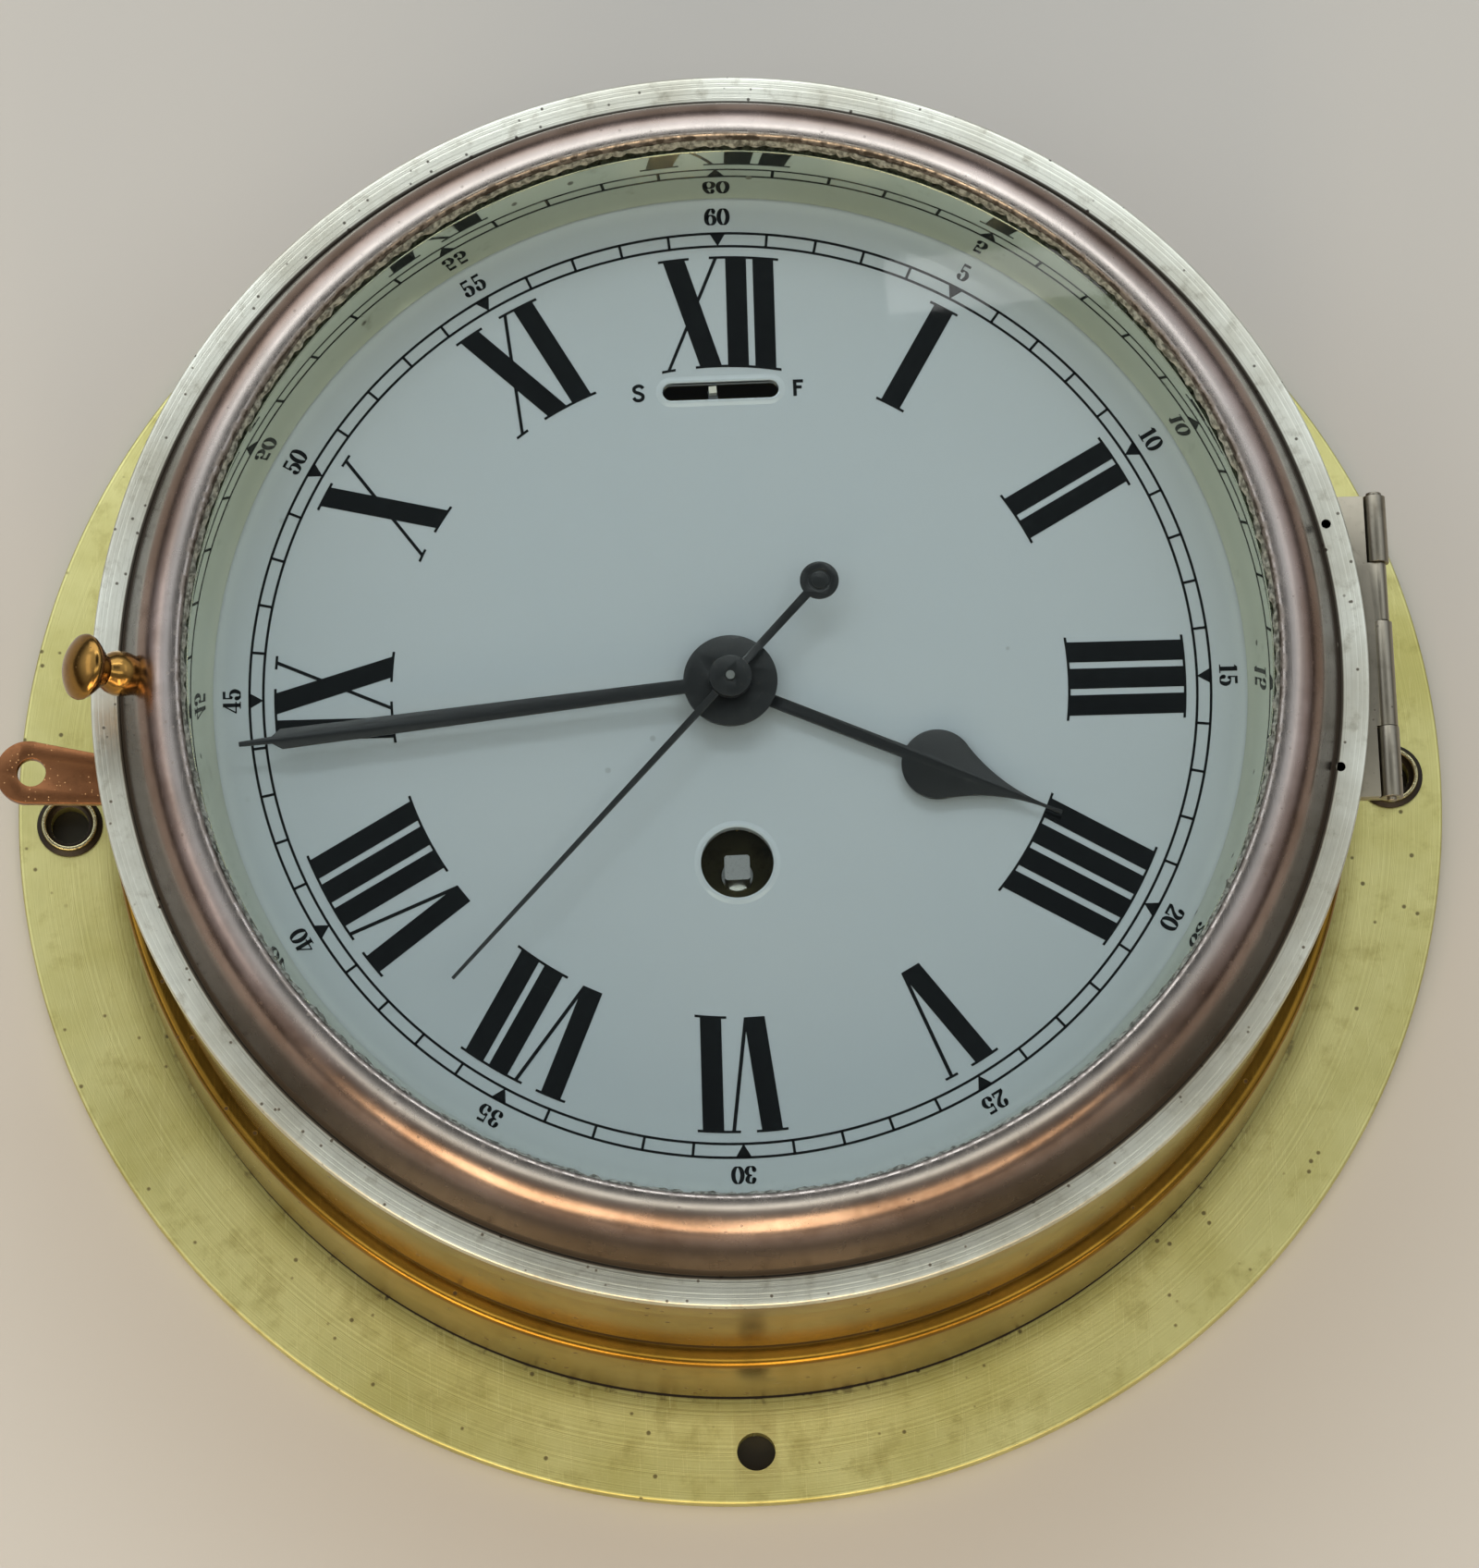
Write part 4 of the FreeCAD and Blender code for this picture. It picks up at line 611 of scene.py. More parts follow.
def smoothed(mesh):
    """Smooth shading, with the true edges kept crisp."""
    for face in mesh.polygons:
        face.use_smooth = True
    mesh.set_sharp_from_angle(angle=SHARP)
    return mesh


def tidy_mesh(mesh):
    """Merge doubles, point the faces out and shade them smooth."""
    work = bmesh.new()
    work.from_mesh(mesh)
    bmesh.ops.remove_doubles(work, verts=work.verts, dist=1e-7)
    bmesh.ops.recalc_face_normals(work, faces=work.faces)
    work.to_mesh(mesh)
    work.free()
    return smoothed(mesh)


def solid(name, corners, faces):
    """An object from its corners and faces."""
    mesh = bpy.data.meshes.new(name)
    mesh.from_pydata(corners, [], faces)
    return new_object(name, tidy_mesh(mesh))


def turned(name, outlines, at=(0.0, 0.0), sides=288):
    """Spin closed outlines of (distance from the axis, y) round a line along Y at an (x, z) place."""
    corners = []
    faces = []
    for outline in outlines:
        points = rounded(outline)
        first = len(corners)
        count = len(points)
        for side in range(sides):
            a = 2 * math.pi * side / sides
            for r, y in points:
                x, z = at[0] + r * math.sin(a), at[1] + r * math.cos(a)
                corners.append((x * MM, y * MM, z * MM))
        for side in range(sides):
            here = first + side * count
            there = first + (side + 1) % sides * count
            for n in range(count):
                m = (n + 1) % count
                if points[n][0] < 1e-6 and points[m][0] < 1e-6:
                    continue
                faces.append((here + n, here + m, there + m, there + n))
    return solid(name, corners, faces)


def prism(name, outlines, front, back):
    """Closed solids from flat (x, z) outlines, between two planes."""
    corners = []
    faces = []
    for outline in outlines:
        first = len(corners)
        count = len(outline)
        corners += [(x * MM, front * MM, z * MM) for x, z in outline]
        corners += [(x * MM, back * MM, z * MM) for x, z in outline]
        faces.append(tuple(range(first, first + count)))
        faces.append(tuple(range(first + 2 * count - 1, first + count - 1, -1)))
        for n in range(count):
            m = (n + 1) % count
            faces.append((first + n, first + m, first + count + m, first + count + n))
    return solid(name, corners, faces)


def applied(piece):
    """Turn a piece with modifiers into a plain mesh."""
    graph = bpy.context.evaluated_depsgraph_get()
    mesh = bpy.data.meshes.new_from_object(piece.evaluated_get(graph))
    piece.modifiers.clear()
    old = piece.data
    piece.data = mesh
    bpy.data.meshes.remove(old)
    return piece


def cut(piece, cutter):
    """Take one object's shape out of another."""
    knife = piece.modifiers.new("cut", "BOOLEAN")
    knife.operation = "DIFFERENCE"
    knife.solver = "EXACT"
    knife.object = cutter
    applied(piece)
    bpy.data.objects.remove(cutter)
    piece.data.set_sharp_from_angle(angle=SHARP)
    return piece


def polar(radius, clockwise, centre=(0.0, 0.0)):
    """The (x, z) place at a radius and a dial angle round a centre."""
    a = math.radians(clockwise)
    return centre[0] + radius * math.sin(a), centre[1] + radius * math.cos(a)


def disc(centre, radius, sides=48):
    return [polar(radius, 360 * n / sides, centre) for n in range(sides)]


def box_outline(x0, x1, z0, z1):
    return [(x0, z0), (x1, z0), (x1, z1), (x0, z1)]


def settle(piece, body, slot, material, *nodes):
    """Give a finished piece its material and its body, and hide the nodes that it stands for. The slot is not
    used.
    """
    piece.data.materials.clear()
    piece.data.materials.append(material)
    for face in piece.data.polygons:
        face.material_index = 0
    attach(piece, body)
    if nodes:
        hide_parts(*nodes)
    print(f"  {piece.name}: {len(piece.data.polygons)} faces on {body}")
    return piece


def joined(name, *objects):
    """Several objects made one mesh."""
    work = bmesh.new()
    for each in objects:
        work.from_mesh(each.data)
    mesh = bpy.data.meshes.new(name)
    work.to_mesh(mesh)
    work.free()
    for each in objects:
        bpy.data.objects.remove(each)
    return new_object(name, smoothed(mesh))


print("lathe, prism and cut ready")

# %% [markdown]
# ## The case
#
# The drum, its flange and its collar are one turning. The flange could be a plain disc with a cylinder on
# it, but the eye reads such a case by its grooves: a narrow neck over the flange, a broad band with a rounded
# front edge, a deep groove, the drum wall and a step under the collar. The screw holes, the slot for the
# latch lever and the seat of the hinge leaf are then cut out.

# %% Turn and cut the case

case_outline = [
    (COVER_R + 0.2, 0.0, 0.2),
    (FLANGE_R, 0.0, 0.4),
    (FLANGE_R, -FLANGE_T, 0.6),
    (NECK_R, -FLANGE_T, 0.15),
    (NECK_R, BAND_BACK, 0.1),
    (BAND_R, BAND_BACK, 0.3),
    (BAND_R, BAND_FRONT, 1.5),
    (GROOVE_R, BAND_FRONT, 0.3),
    (GROOVE_R, GROOVE_FRONT, 0.3),
    (DRUM_R, GROOVE_FRONT, 0.4),
    (DRUM_R, DRUM_FRONT, 0.25),
    (DRUM_R - 0.8, DRUM_FRONT, 0.1),
    (DRUM_R - 0.8, COLLAR_BACK, 0.1),
    (COLLAR_R, COLLAR_BACK, 0.4),
    (COLLAR_R, CASE_FRONT, 0.4),
    (WELL_R, CASE_FRONT, 0.3),
    (WELL_R, DIAL_BACK),
    (LEDGE_R, DIAL_BACK, 0.2),
    (LEDGE_R, LEDGE_BACK, 0.2),
    (CASE_BORE_R, LEDGE_BACK, 0.3),
    (CASE_BORE_R, -5.4, 0.3),
    (COVER_R - 4.8, -5.4, 0.2),
    (COVER_R - 4.8, COVER_FRONT, 0.1),
    (COVER_R + 0.2, COVER_FRONT),
]
case_shell = turned("case_turning", [case_outline], sides=360)

WELL_SIDE = -98.5
LEVER_SLOT_Z = (-17.2, -3.6)
STRIKE_WINDOW_X = (-99.2, -91.5)
STRIKE_WINDOW_Z = (-7.5, 1.0)
COVER_SCREW_R = COVER_R - 2.4
wall_holes = [disc(polar(WALL_SCREW_R, turn), WALL_HOLE_R) for turn in (0, 90, 180, 270)]
cover_holes = [disc(polar(COVER_SCREW_R, 30 + 60 * n), 1.0, 24) for n in range(6)]
leaf_low, leaf_high = span("hinge_leaf_case")
leaf_seat = [box_outline(leaf_low.x, leaf_high.x + 0.4, leaf_low.z, leaf_high.z)]
latch_low, latch_high = span("latch_lever")
lever_slot = [box_outline(-COLLAR_R - 1, WELL_SIDE, *LEVER_SLOT_Z)]
strike_window = [box_outline(*STRIKE_WINDOW_X, *STRIKE_WINDOW_Z)]
cut(case_shell, prism("knife", wall_holes, -FLANGE_T - 1, 1))
cut(case_shell, prism("knife", cover_holes, -7.0, -1.0))
cut(case_shell, prism("knife", leaf_seat, CASE_FRONT - 1, leaf_high.y + 0.02))
cut(case_shell, prism("knife", lever_slot, latch_low.y - 0.4, latch_high.y + 0.4))
cut(case_shell, prism("knife", strike_window, CASE_FRONT - 1, LEDGE_BACK + 1))
settle(case_shell, "case", "case_brass", case_brass, "case_shell")

# %% [markdown]
# The wall screws at three and nine pass through little turned cups, thin at the mouth and flared where they
# are soldered to the flange. They have gone nearly black except for the rubbed rim.

# %% Screw cups


def cup_build(s):
    lip = 1 - s.between(s.y, -4.45 * MM, -4.15 * MM)
    rubbed = lip * s.between(s.cloud(2.0), 0.30, 0.5)
    colour = s.mix(s.cloud(1.5, 5.0), shade("2A2016"), shade("120E0A"))
    colour = s.mix(rubbed, colour, shade("CDC49A"))
    return {
        "Base Color": colour,
        "Roughness": 0.5 - rubbed * 0.25,
        "Metallic": 0.35 + rubbed * 0.65,
        "Normal": s.bump(s.cloud(0.8, 5.0), 0.06),
    }


cup_tarnish = finish("cup_bronze_tarnished", cup_build)
cup_low, cup_high = span("screw_cups")
CUP_R = (cup_high.z - cup_low.z) / 2
cup_outline = [
    (WALL_HOLE_R, -FLANGE_T),
    (CUP_R, -FLANGE_T, 0.1),
    (CUP_R, -FLANGE_T - 0.35, 0.2),
    (CUP_R - 0.75, -FLANGE_T - 0.8, 0.3),
    (CUP_R - 0.95, cup_low.y, 0.15),
    (CUP_R - 1.5, cup_low.y, 0.15),
    (WALL_HOLE_R + 0.5, -FLANGE_T - 0.4, 0.2),
]
cups = [turned("cup", [cup_outline], polar(WALL_SCREW_R, turn), 64) for turn in (90, 270)]
settle(joined("screw_cups_turned", *cups), "case", "cup_bronze", cup_tarnish, "screw_cups")

# %% [markdown]
# The back cover is a flat plate that nobody sees once the clock is hung. It is still turned here with a
# stepped edge and two shallow rings, because the clock can be looked at from behind.

# %% Back cover

cover_high = span("back_cover")[1].y
cover_outline = [
    (0.0, COVER_FRONT),
    (COVER_R, COVER_FRONT, 0.1),
    (COVER_R, cover_high, 0.3),
    (86.0, cover_high, 0.2),
    (85.4, cover_high - 0.35, 0.2),
    (84.0, cover_high - 0.35, 0.2),
    (83.4, cover_high, 0.2),
    (30.0, cover_high, 0.2),
    (29.5, cover_high - 0.3, 0.2),
    (28.5, cover_high - 0.3, 0.2),
    (28.0, cover_high, 0.2),
    (0.0, cover_high),
]
back_cover = turned("back_cover_turned", [cover_outline], sides=240)
heads = [disc(polar(COVER_SCREW_R, 30 + 60 * n), 2.2, 32) for n in range(6)]
cut(back_cover, prism("knife", heads, -1.6, 1.0))
settle(back_cover, "case", "cover_brass", cover_brass, "back_cover")

# %% [markdown]
# ## The bezel
#
# The bezel is a flat rim with a hollow roll inside it. The roll is an ovolo: its flank leans in from the rim,
# a wide shoulder carries it over the crown, and a tight round turns it down to the glass. The shoulder and
# the round are true arcs, sampled finely, because a polished roll shows every facet as a broken reflection.

# %% Turn the bezel

SHOULDER = (CROWN_R, CROWN_Y + SHOULDER_RADIUS)
LIP_CENTRE = (CROWN_R, CROWN_Y + LIP_ROUND)
flank_lean = math.degrees(math.atan2(SHOULDER[1] - FLANK_TOP[1], FLANK_TOP[0] - SHOULDER[0]))
hollow_side = HOLLOW_TOP[0] - HOLLOW_INNER_R
hollow_y = HOLLOW_TOP[1] + hollow_side
bezel_outline = [
    (RIM_R, RIM_BACK, 0.2),
    (RIM_R, RIM_FRONT, 0.45),
    (ROLL_FOOT_R + 0.4, RIM_FRONT, 0.1),
    (ROLL_FOOT_R + 0.2, RIM_FRONT + 0.3),
    (ROLL_FOOT_R, RIM_FRONT, 0.1),
]
bezel_outline += arc(SHOULDER, SHOULDER_RADIUS, flank_lean, 90, 30)
bezel_outline += arc(LIP_CENTRE, LIP_ROUND, 92, 180, 10)
bezel_outline += [
    (SIGHT_R, LIP_BACK, 0.1),
    (REBATE_R, LIP_BACK),
    (REBATE_R, RIM_BACK, 0.1),
    (HOLLOW_INNER_R, RIM_BACK, 0.1),
]
bezel_outline += arc((HOLLOW_TOP[0], hollow_y), hollow_side, 180, 0, 12)
bezel_outline += [(HOLLOW_OUTER_R, RIM_BACK, 0.1)]
bezel = turned("bezel_turning", [bezel_outline], sides=400)
door_low, door_high = span("hinge_leaf_door")
door_seat = [box_outline(door_low.x, RIM_R + 1, door_low.z, door_high.z)]
cut(bezel, prism("knife", door_seat, RIM_BACK - 1.22, RIM_BACK + 1))
settle(bezel, "bezel_door", "worn_nickel", worn_nickel, "bezel_ring")

# %% [markdown]
# The glass is flat and sits on a bead of putty that has crumbled where it shows past the lip. The bead is a
# ring whose inner edge wanders: noise moves each section in and out by a few tenths of a millimetre.

# %% Glass and putty

glass_low, glass_high = span("glass_pane")
GLASS_R = radius_of("glass_pane")
glass_outline = [
    (0.0, glass_low.y),
    (GLASS_R, glass_low.y, 0.15),
    (GLASS_R, glass_high.y, 0.15),
    (0.0, glass_high.y),
]
glass = turned("glass_pane_flat", [glass_outline], sides=288)
settle(glass, "bezel_door", "window_glass", window_glass, "glass_pane")

bead_low, bead_high = span("glass_gasket")
bead_outline = [
    (SIGHT_R - 0.75, bead_high.y - 0.02, 0.1),
    (SIGHT_R - 0.45, bead_low.y - 0.35, 0.2),
    (SIGHT_R + 0.05, bead_low.y - 0.75, 0.1),
    (SIGHT_R + 0.6, bead_low.y, 0.1),
    (REBATE_R - 0.1, bead_low.y),
    (REBATE_R - 0.1, bead_high.y),
]
bead = turned("putty_bead", [bead_outline], sides=720)
for vertex in bead.data.vertices:
    r = math.hypot(vertex.co.x, vertex.co.z)
    if r < (SIGHT_R + 0.2) * MM:
        ragged = noise.noise(vertex.co * 700) * 0.5 + noise.noise(vertex.co * 2400) * 0.3
        scale = (r + min(ragged, 0.4) * MM) / r
        vertex.co.x *= scale
        vertex.co.z *= scale
settle(bead, "bezel_door", "putty", putty, "glass_gasket")

# %% [markdown]
# Behind the glass a polished ring slopes in to the dial's edge. It works as a mirror and repeats the minute
# track and its figures upside down, which makes the dial look deeper than it is.

# %% Sight ring

sight_low, sight_high = span("sight_ring")
SIGHT_FRONT_R = 89.4
SIGHT_BACK_R = 86.0
WALL = 0.75
sight_outline = [
    (SIGHT_FRONT_R, sight_low.y, 0.2),
    (REBATE_R - 0.05, sight_low.y, 0.1),
    (REBATE_R - 0.05, RIM_FRONT + 1.0, 0.1),
    (REBATE_R - WALL, RIM_FRONT + 1.0, 0.1),
    (REBATE_R - WALL, sight_low.y + 0.8, 0.1),
    (SIGHT_FRONT_R + WALL, sight_low.y + 0.8, 0.1),
    (SIGHT_BACK_R + WALL, sight_high.y, 0.1),
    (SIGHT_BACK_R, sight_high.y, 0.15),
]
sight = turned("sight_ring_turned", [sight_outline], sides=400)
settle(sight, "bezel_door", "sight_brass", sight_brass, "sight_ring")

# %% [markdown]
# The door is pulled by a brass button on a rounded collar. It is turned like any knob, then laid along its
# own axis, which leans out and forward from the shoulder of the roll.

# %% Pull knob

KNOB_AT = 271.1
KNOB_FOOT = (-98.3, -88.0)
KNOB_TILT = 53.13
knob_outline = [(0.0, -12.5), (0.0, 1.5), (3.0, 1.5, 0.1), (3.2, 0.0)]
collar = [(3.45, -0.9), (3.68, -1.9), (3.8, -2.9), (3.65, -3.9), (3.3, -4.9), (2.85, -5.6), (2.7, -6.0)]
button = [
    (2.85, -6.4), (3.5, -7.2), (4.3, -8.1), (5.0, -8.9), (5.4, -9.5), (5.5, -10.0),
    (5.35, -10.4), (4.9, -10.8), (4.1, -11.35), (3.2, -11.8), (2.2, -12.15), (1.1, -12.4),
]
knob = turned("pull_knob", [knob_outline + collar + button], sides=96)
lean = Matrix.Rotation(math.radians(-KNOB_TILT), 4, "Z")
seat = Matrix.Translation((KNOB_FOOT[0] * MM, KNOB_FOOT[1] * MM, 0.0))
swing = Matrix.Rotation(math.radians(KNOB_AT - 270), 4, "Y")
knob.data.transform(swing @ seat @ lean)
settle(knob, "bezel_door", "knob_brass", knob_brass, "bezel_knob")

# %% [markdown]
# ## The dial
#
# The plate is turned with its rolled edge, then the winding hole and the slow-fast slot are cut out. Each
# opening has a soft raised lip, where the enamel drew back from the hole as it melted. A lip is one small
# section carried along the edge of its opening, so a circle and a long slot can share the same function.

# %% Dial plate

dial_outline = [(4.3, DIAL_FRONT, 0.1)]
dial_outline += [
    (DIAL_FLAT_R, DIAL_FRONT),
    (DIAL_FLAT_R + 1.2, DIAL_FRONT + 0.10),
    (DIAL_FLAT_R + 2.15, DIAL_FRONT + 0.32),
    (DIAL_FLAT_R + 2.75, DIAL_FRONT + 0.62),
    (DIAL_R, DIAL_FRONT + 1.0, 0.1),
    (DIAL_R, DIAL_BACK, 0.1),
    (4.3, DIAL_BACK),
]
dial = turned("dial_plate_enamelled", [dial_outline], sides=360)


def slot_edge(grow, steps=16):
    """The outline of the slot, moved out by grow."""
    reach = (SLOT_LENGTH - SLOT_HEIGHT) / 2
    points = []
    for side, start in ((1, 0), (-1, 180)):
        middle = (SLOT_AT[0] + side * reach, SLOT_AT[1])
        points += [polar(SLOT_HEIGHT / 2 + grow, start + 180 * n / steps, middle) for n in range(steps + 1)]
    return points


def hole_edge(grow, steps=72):
    return disc(WINDING_AT, WINDING_HOLE_R + grow, steps)


def lip(name, edge):
    """A soft raised rim round an opening: each section point is (distance outside the edge, y)."""
    section = [
        (1.25, 0.02), (0.95, -0.05), (0.6, -0.19), (0.3, -0.25),
        (0.08, -0.17), (0.0, 0.02), (0.0, 0.7), (1.25, 0.7),
    ]
    corners = []
    for grow, rise in section:
        corners += [(x * MM, (DIAL_FRONT + rise) * MM, z * MM) for x, z in edge(grow)]
    count = len(edge(0.0))
    faces = []
    for n in range(len(section)):
        here = n * count
        there = (n + 1) % len(section) * count
        for m in range(count):
            k = (m + 1) % count
            faces.append((here + m, here + k, there + k, there + m))
    return solid(name, corners, faces)


cut(dial, prism("knife", [hole_edge(0.0), slot_edge(0.0)], DIAL_FRONT - 1, DIAL_BACK + 1))
dial = joined("dial_enamelled", dial, lip("lip", hole_edge), lip("lip", slot_edge))
settle(dial, "case", "dial_enamel", dial_enamel, "dial_plate")

# %% [markdown]
# ## The minute track
#
# Two fine circles carry a bar at each minute and a solid triangle at each fifth. Sixty marks that differ
# only by their turn are a job for Geometry Nodes: the tree makes one bar and one triangle, sets them at the
# track's radius and copies them by index, with the angle worked out from the index. The result is realised,
# given its material and turned into a plain mesh.

# %% A helper for geometry trees


def geometry_tree(name, numbers):
    """A node group with a geometry input and output and one named number input for each size."""
    group = bpy.data.node_groups.new(name, "GeometryNodeTree")
    group.interface.new_socket("Geometry", in_out="INPUT", socket_type="NodeSocketGeometry")
    names = {}
    for word in numbers:
        made = group.interface.new_socket(word, in_out="INPUT", socket_type="NodeSocketFloat")
        names[word] = made.identifier
    group.interface.new_socket("Geometry", in_out="OUTPUT", socket_type="NodeSocketGeometry")
    inlet = group.nodes.new("NodeGroupInput")
    sizes = {socket.name: Signal(group, socket) for socket in inlet.outputs if socket.name}
    return group, sizes, names


def close_tree(group, geometry, material):
    """End a tree: realise the copies, set the material and send it out."""
    real = geometry.node("GeometryNodeRealizeInstances", sockets={0: geometry})
    dressed = geometry.node("GeometryNodeSetMaterial", sockets={"Geometry": real, "Material": material})
    outlet = group.nodes.new("NodeGroupOutput")
    group.links.new(dressed.socket, outlet.inputs[0])


def run_tree(piece, group, names, values):
    """Run a tree on a piece and keep the result as a plain mesh."""
    modifier = piece.modifiers.new(group.name, "NODES")
    modifier.node_group = group
    for word, value in values.items():
        modifier[names[word]] = value
    return applied(piece)


print("geometry helpers ready")

# %% Minute marks

TRACK_OUTER_R = 80.0
TRACK_INNER_R = 77.7
LINE = 0.5
PRINT_TURN = 0.6
PRINT_T = 0.07
PRINT_FRONT = DIAL_FRONT - PRINT_T
MINUTES = 60

mark_sizes = {
    "Outer radius": TRACK_OUTER_R * MM,
    "Inner radius": TRACK_INNER_R * MM,
    "Line": LINE * MM,
    "Thickness": PRINT_T * MM,
    "Plane": DIAL_FRONT * MM,
}
group, sizes, names = geometry_tree("minute_marks", mark_sizes)
start = sizes["Geometry"]
middle = (sizes["Outer radius"] + sizes["Inner radius"]) * 0.5
length = sizes["Outer radius"] - sizes["Inner radius"]
points = start.node("GeometryNodePoints", sockets={"Count": MINUTES})
index = start.node("GeometryNodeInputIndex")
angle = index * (2 * math.pi / MINUTES) + math.radians(PRINT_TURN)
turn = start.node("ShaderNodeCombineXYZ", sockets={1: angle})
rotation = start.node("FunctionNodeEulerToRotation", sockets={0: turn})
past_fifth = start.math("MODULO", index, 5.0)
fifth = start.node("FunctionNodeCompare", {"operation": "LESS_THAN"}, {0: past_fifth, 1: 0.5})
other = start.node("FunctionNodeBooleanMath", {"operation": "NOT"}, {0: fifth})
depth = sizes["Thickness"] * 2

bar_size = start.node("ShaderNodeCombineXYZ", sockets={0: sizes["Line"] * 0.9, 1: depth, 2: length})
bar = start.node("GeometryNodeMeshCube", sockets={"Size": bar_size})
place = start.node("ShaderNodeCombineXYZ", sockets={1: sizes["Plane"], 2: middle})
bar = start.node("GeometryNodeTransform", sockets={0: bar, "Translation": place})

TRIANGLE_HALF = 1.35
point_down = Matrix(((0, 1, 0), (0, 0, -1), (-1, 0, 0))).to_euler()
wedge = start.node(
    "GeometryNodeMeshCylinder", {"fill_type": "NGON"}, {"Vertices": 3, "Radius": 1.0, "Depth": 1.0}
)
wedge_r = length / 1.5
wedge_half = TRIANGLE_HALF * MM / math.sin(math.radians(60))
wedge_size = start.node("ShaderNodeCombineXYZ", sockets={0: wedge_r, 1: wedge_half, 2: depth})
wedge_place = start.node(
    "ShaderNodeCombineXYZ", sockets={1: sizes["Plane"], 2: sizes["Inner radius"] + wedge_r}
)
wedge = start.node("GeometryNodeTransform", sockets={0: wedge, "Scale": wedge_size, "Rotation": point_down})
wedge = start.node("GeometryNodeTransform", sockets={0: wedge, "Translation": wedge_place})

bars = start.node(
    "GeometryNodeInstanceOnPoints",
    sockets={"Points": points, "Selection": other, "Instance": bar, "Rotation": rotation},
)
wedges = start.node(
    "GeometryNodeInstanceOnPoints",
    sockets={"Points": points, "Selection": fifth, "Instance": wedge, "Rotation": rotation},
)
both = start.node("GeometryNodeJoinGeometry", sockets={0: bars})
group.links.new(wedges.socket, both.socket.node.inputs[0])
close_tree(group, both, black_enamel)

marks = new_object("minute_marks", bpy.data.meshes.new("minute_marks"))
run_tree(marks, group, names, mark_sizes)
settle(marks, "case", "hand_black", black_enamel)

circles = []
for track_r in (TRACK_OUTER_R, TRACK_INNER_R):
    circles.append([
        (track_r - LINE / 2, DIAL_FRONT + 0.05),
        (track_r - LINE / 2 + 0.05, PRINT_FRONT),
        (track_r + LINE / 2 - 0.05, PRINT_FRONT),
        (track_r + LINE / 2, DIAL_FRONT + 0.05),
    ])
settle(turned("minute_circles", circles, sides=360), "case", "hand_black", black_enamel)

# %% [markdown]
# ## Numerals
#
# Roman hours stand with their feet to the centre and their serifs follow the dial's circles. The down
# strokes are broad, the up strokes are hairlines. Each stroke is its own thin solid, which is easy to draw
# but leaves the strokes overlapping, so a Mesh Boolean node with self intersection unites them.

# %% Roman strokes

NUMERAL_INNER_R = 56.2
NUMERAL_OUTER_R = 75.9
THICK = 3.5
THIN = 0.5
HAIRLINE = THIN * 1.2
LETTER_WIDTHS = {"I": THICK, "V": 8.6, "X": 9.4}
GAP = 1.1
SERIF = 0.42
OVERHANG = 0.85


def bent(u, v):
    """Carry a point across and up the numeral on to the dial: equal heights lie on one circle."""
    return u, math.sqrt(v * v - u * u)


def stroke(bottom, top, width):
    """A slanting stroke between two places across the numeral, with level ends."""
    low = NUMERAL_INNER_R + SERIF / 2
    high = NUMERAL_OUTER_R - SERIF / 2
    half = width / 2
    corners = ((bottom - half, low), (bottom + half, low), (top + half, high), (top - half, high))
    return [bent(u, v) for u, v in corners]


def serif(left, right, v, steps=8):
    """A hairline along one of the dial's circles."""
    across = [left + (right - left) * n / steps for n in range(steps + 1)]
    return [bent(u, v - SERIF / 2) for u in across] + [bent(u, v + SERIF / 2) for u in reversed(across)]


def roman(word):
    """The outline of every stroke of a numeral, centred on twelve."""
    total = sum(LETTER_WIDTHS[letter] for letter in word) + GAP * (len(word) - 1)
    left = -total / 2
    strokes = []
    tops = []
    feet = []
    for letter in word:
        right = left + LETTER_WIDTHS[letter]
        half = THICK / 2
        if letter == "I":
            strokes.append(stroke(left + half, left + half, THICK))
            tops.append((left, right))
            feet.append((left, right))
        elif letter == "V":
            point = left + LETTER_WIDTHS["V"] * 0.56
            strokes.append(stroke(point - THICK * 0.16, left + half, THICK * 0.98))
            strokes.append(stroke(point + THICK * 0.24, right - THIN, HAIRLINE))
            tops.append((left, left + THICK))
            tops.append((right - THIN * 1.6, right - THIN * 0.4))
        else:
            strokes.append(stroke(right - half, left + half, THICK * 1.04))
            strokes.append(stroke(left + THIN, right - THIN, HAIRLINE))
            tops.append((left, left + THICK))
            tops.append((right - THIN * 1.6, right - THIN * 0.4))
            feet.append((left + THIN * 0.4, left + THIN * 1.6))
            feet.append((right - THICK, right))
        left = right + GAP
    return strokes + serifs(tops, NUMERAL_OUTER_R) + serifs(feet, NUMERAL_INNER_R)


def serifs(ends, v):
    """Hairlines over the stroke ends. Ends that nearly meet share one."""
    merged = []
    for left, right in ends:
        left -= OVERHANG
        right += OVERHANG
        if merged and left < merged[-1][1] + 0.15:
            merged[-1] = (merged[-1][0], right)
        else:
            merged.append((left, right))
    level = v - SERIF / 2 if v == NUMERAL_OUTER_R else v + SERIF / 2
    return [serif(left, right, level) for left, right in merged]


def turned_outline(outline, clockwise):
    a = math.radians(clockwise + PRINT_TURN)
    return [(x * math.cos(a) + z * math.sin(a), z * math.cos(a) - x * math.sin(a)) for x, z in outline]


HOURS = ("XII", "I", "II", "III", "IIII", "V", "VI", "VII", "VIII", "IX", "X", "XI")
hour_strokes = [turned_outline(line, 30 * hour) for hour, word in enumerate(HOURS) for line in roman(word)]
print("hour strokes:", len(hour_strokes))

# %% Unite overlapping strokes


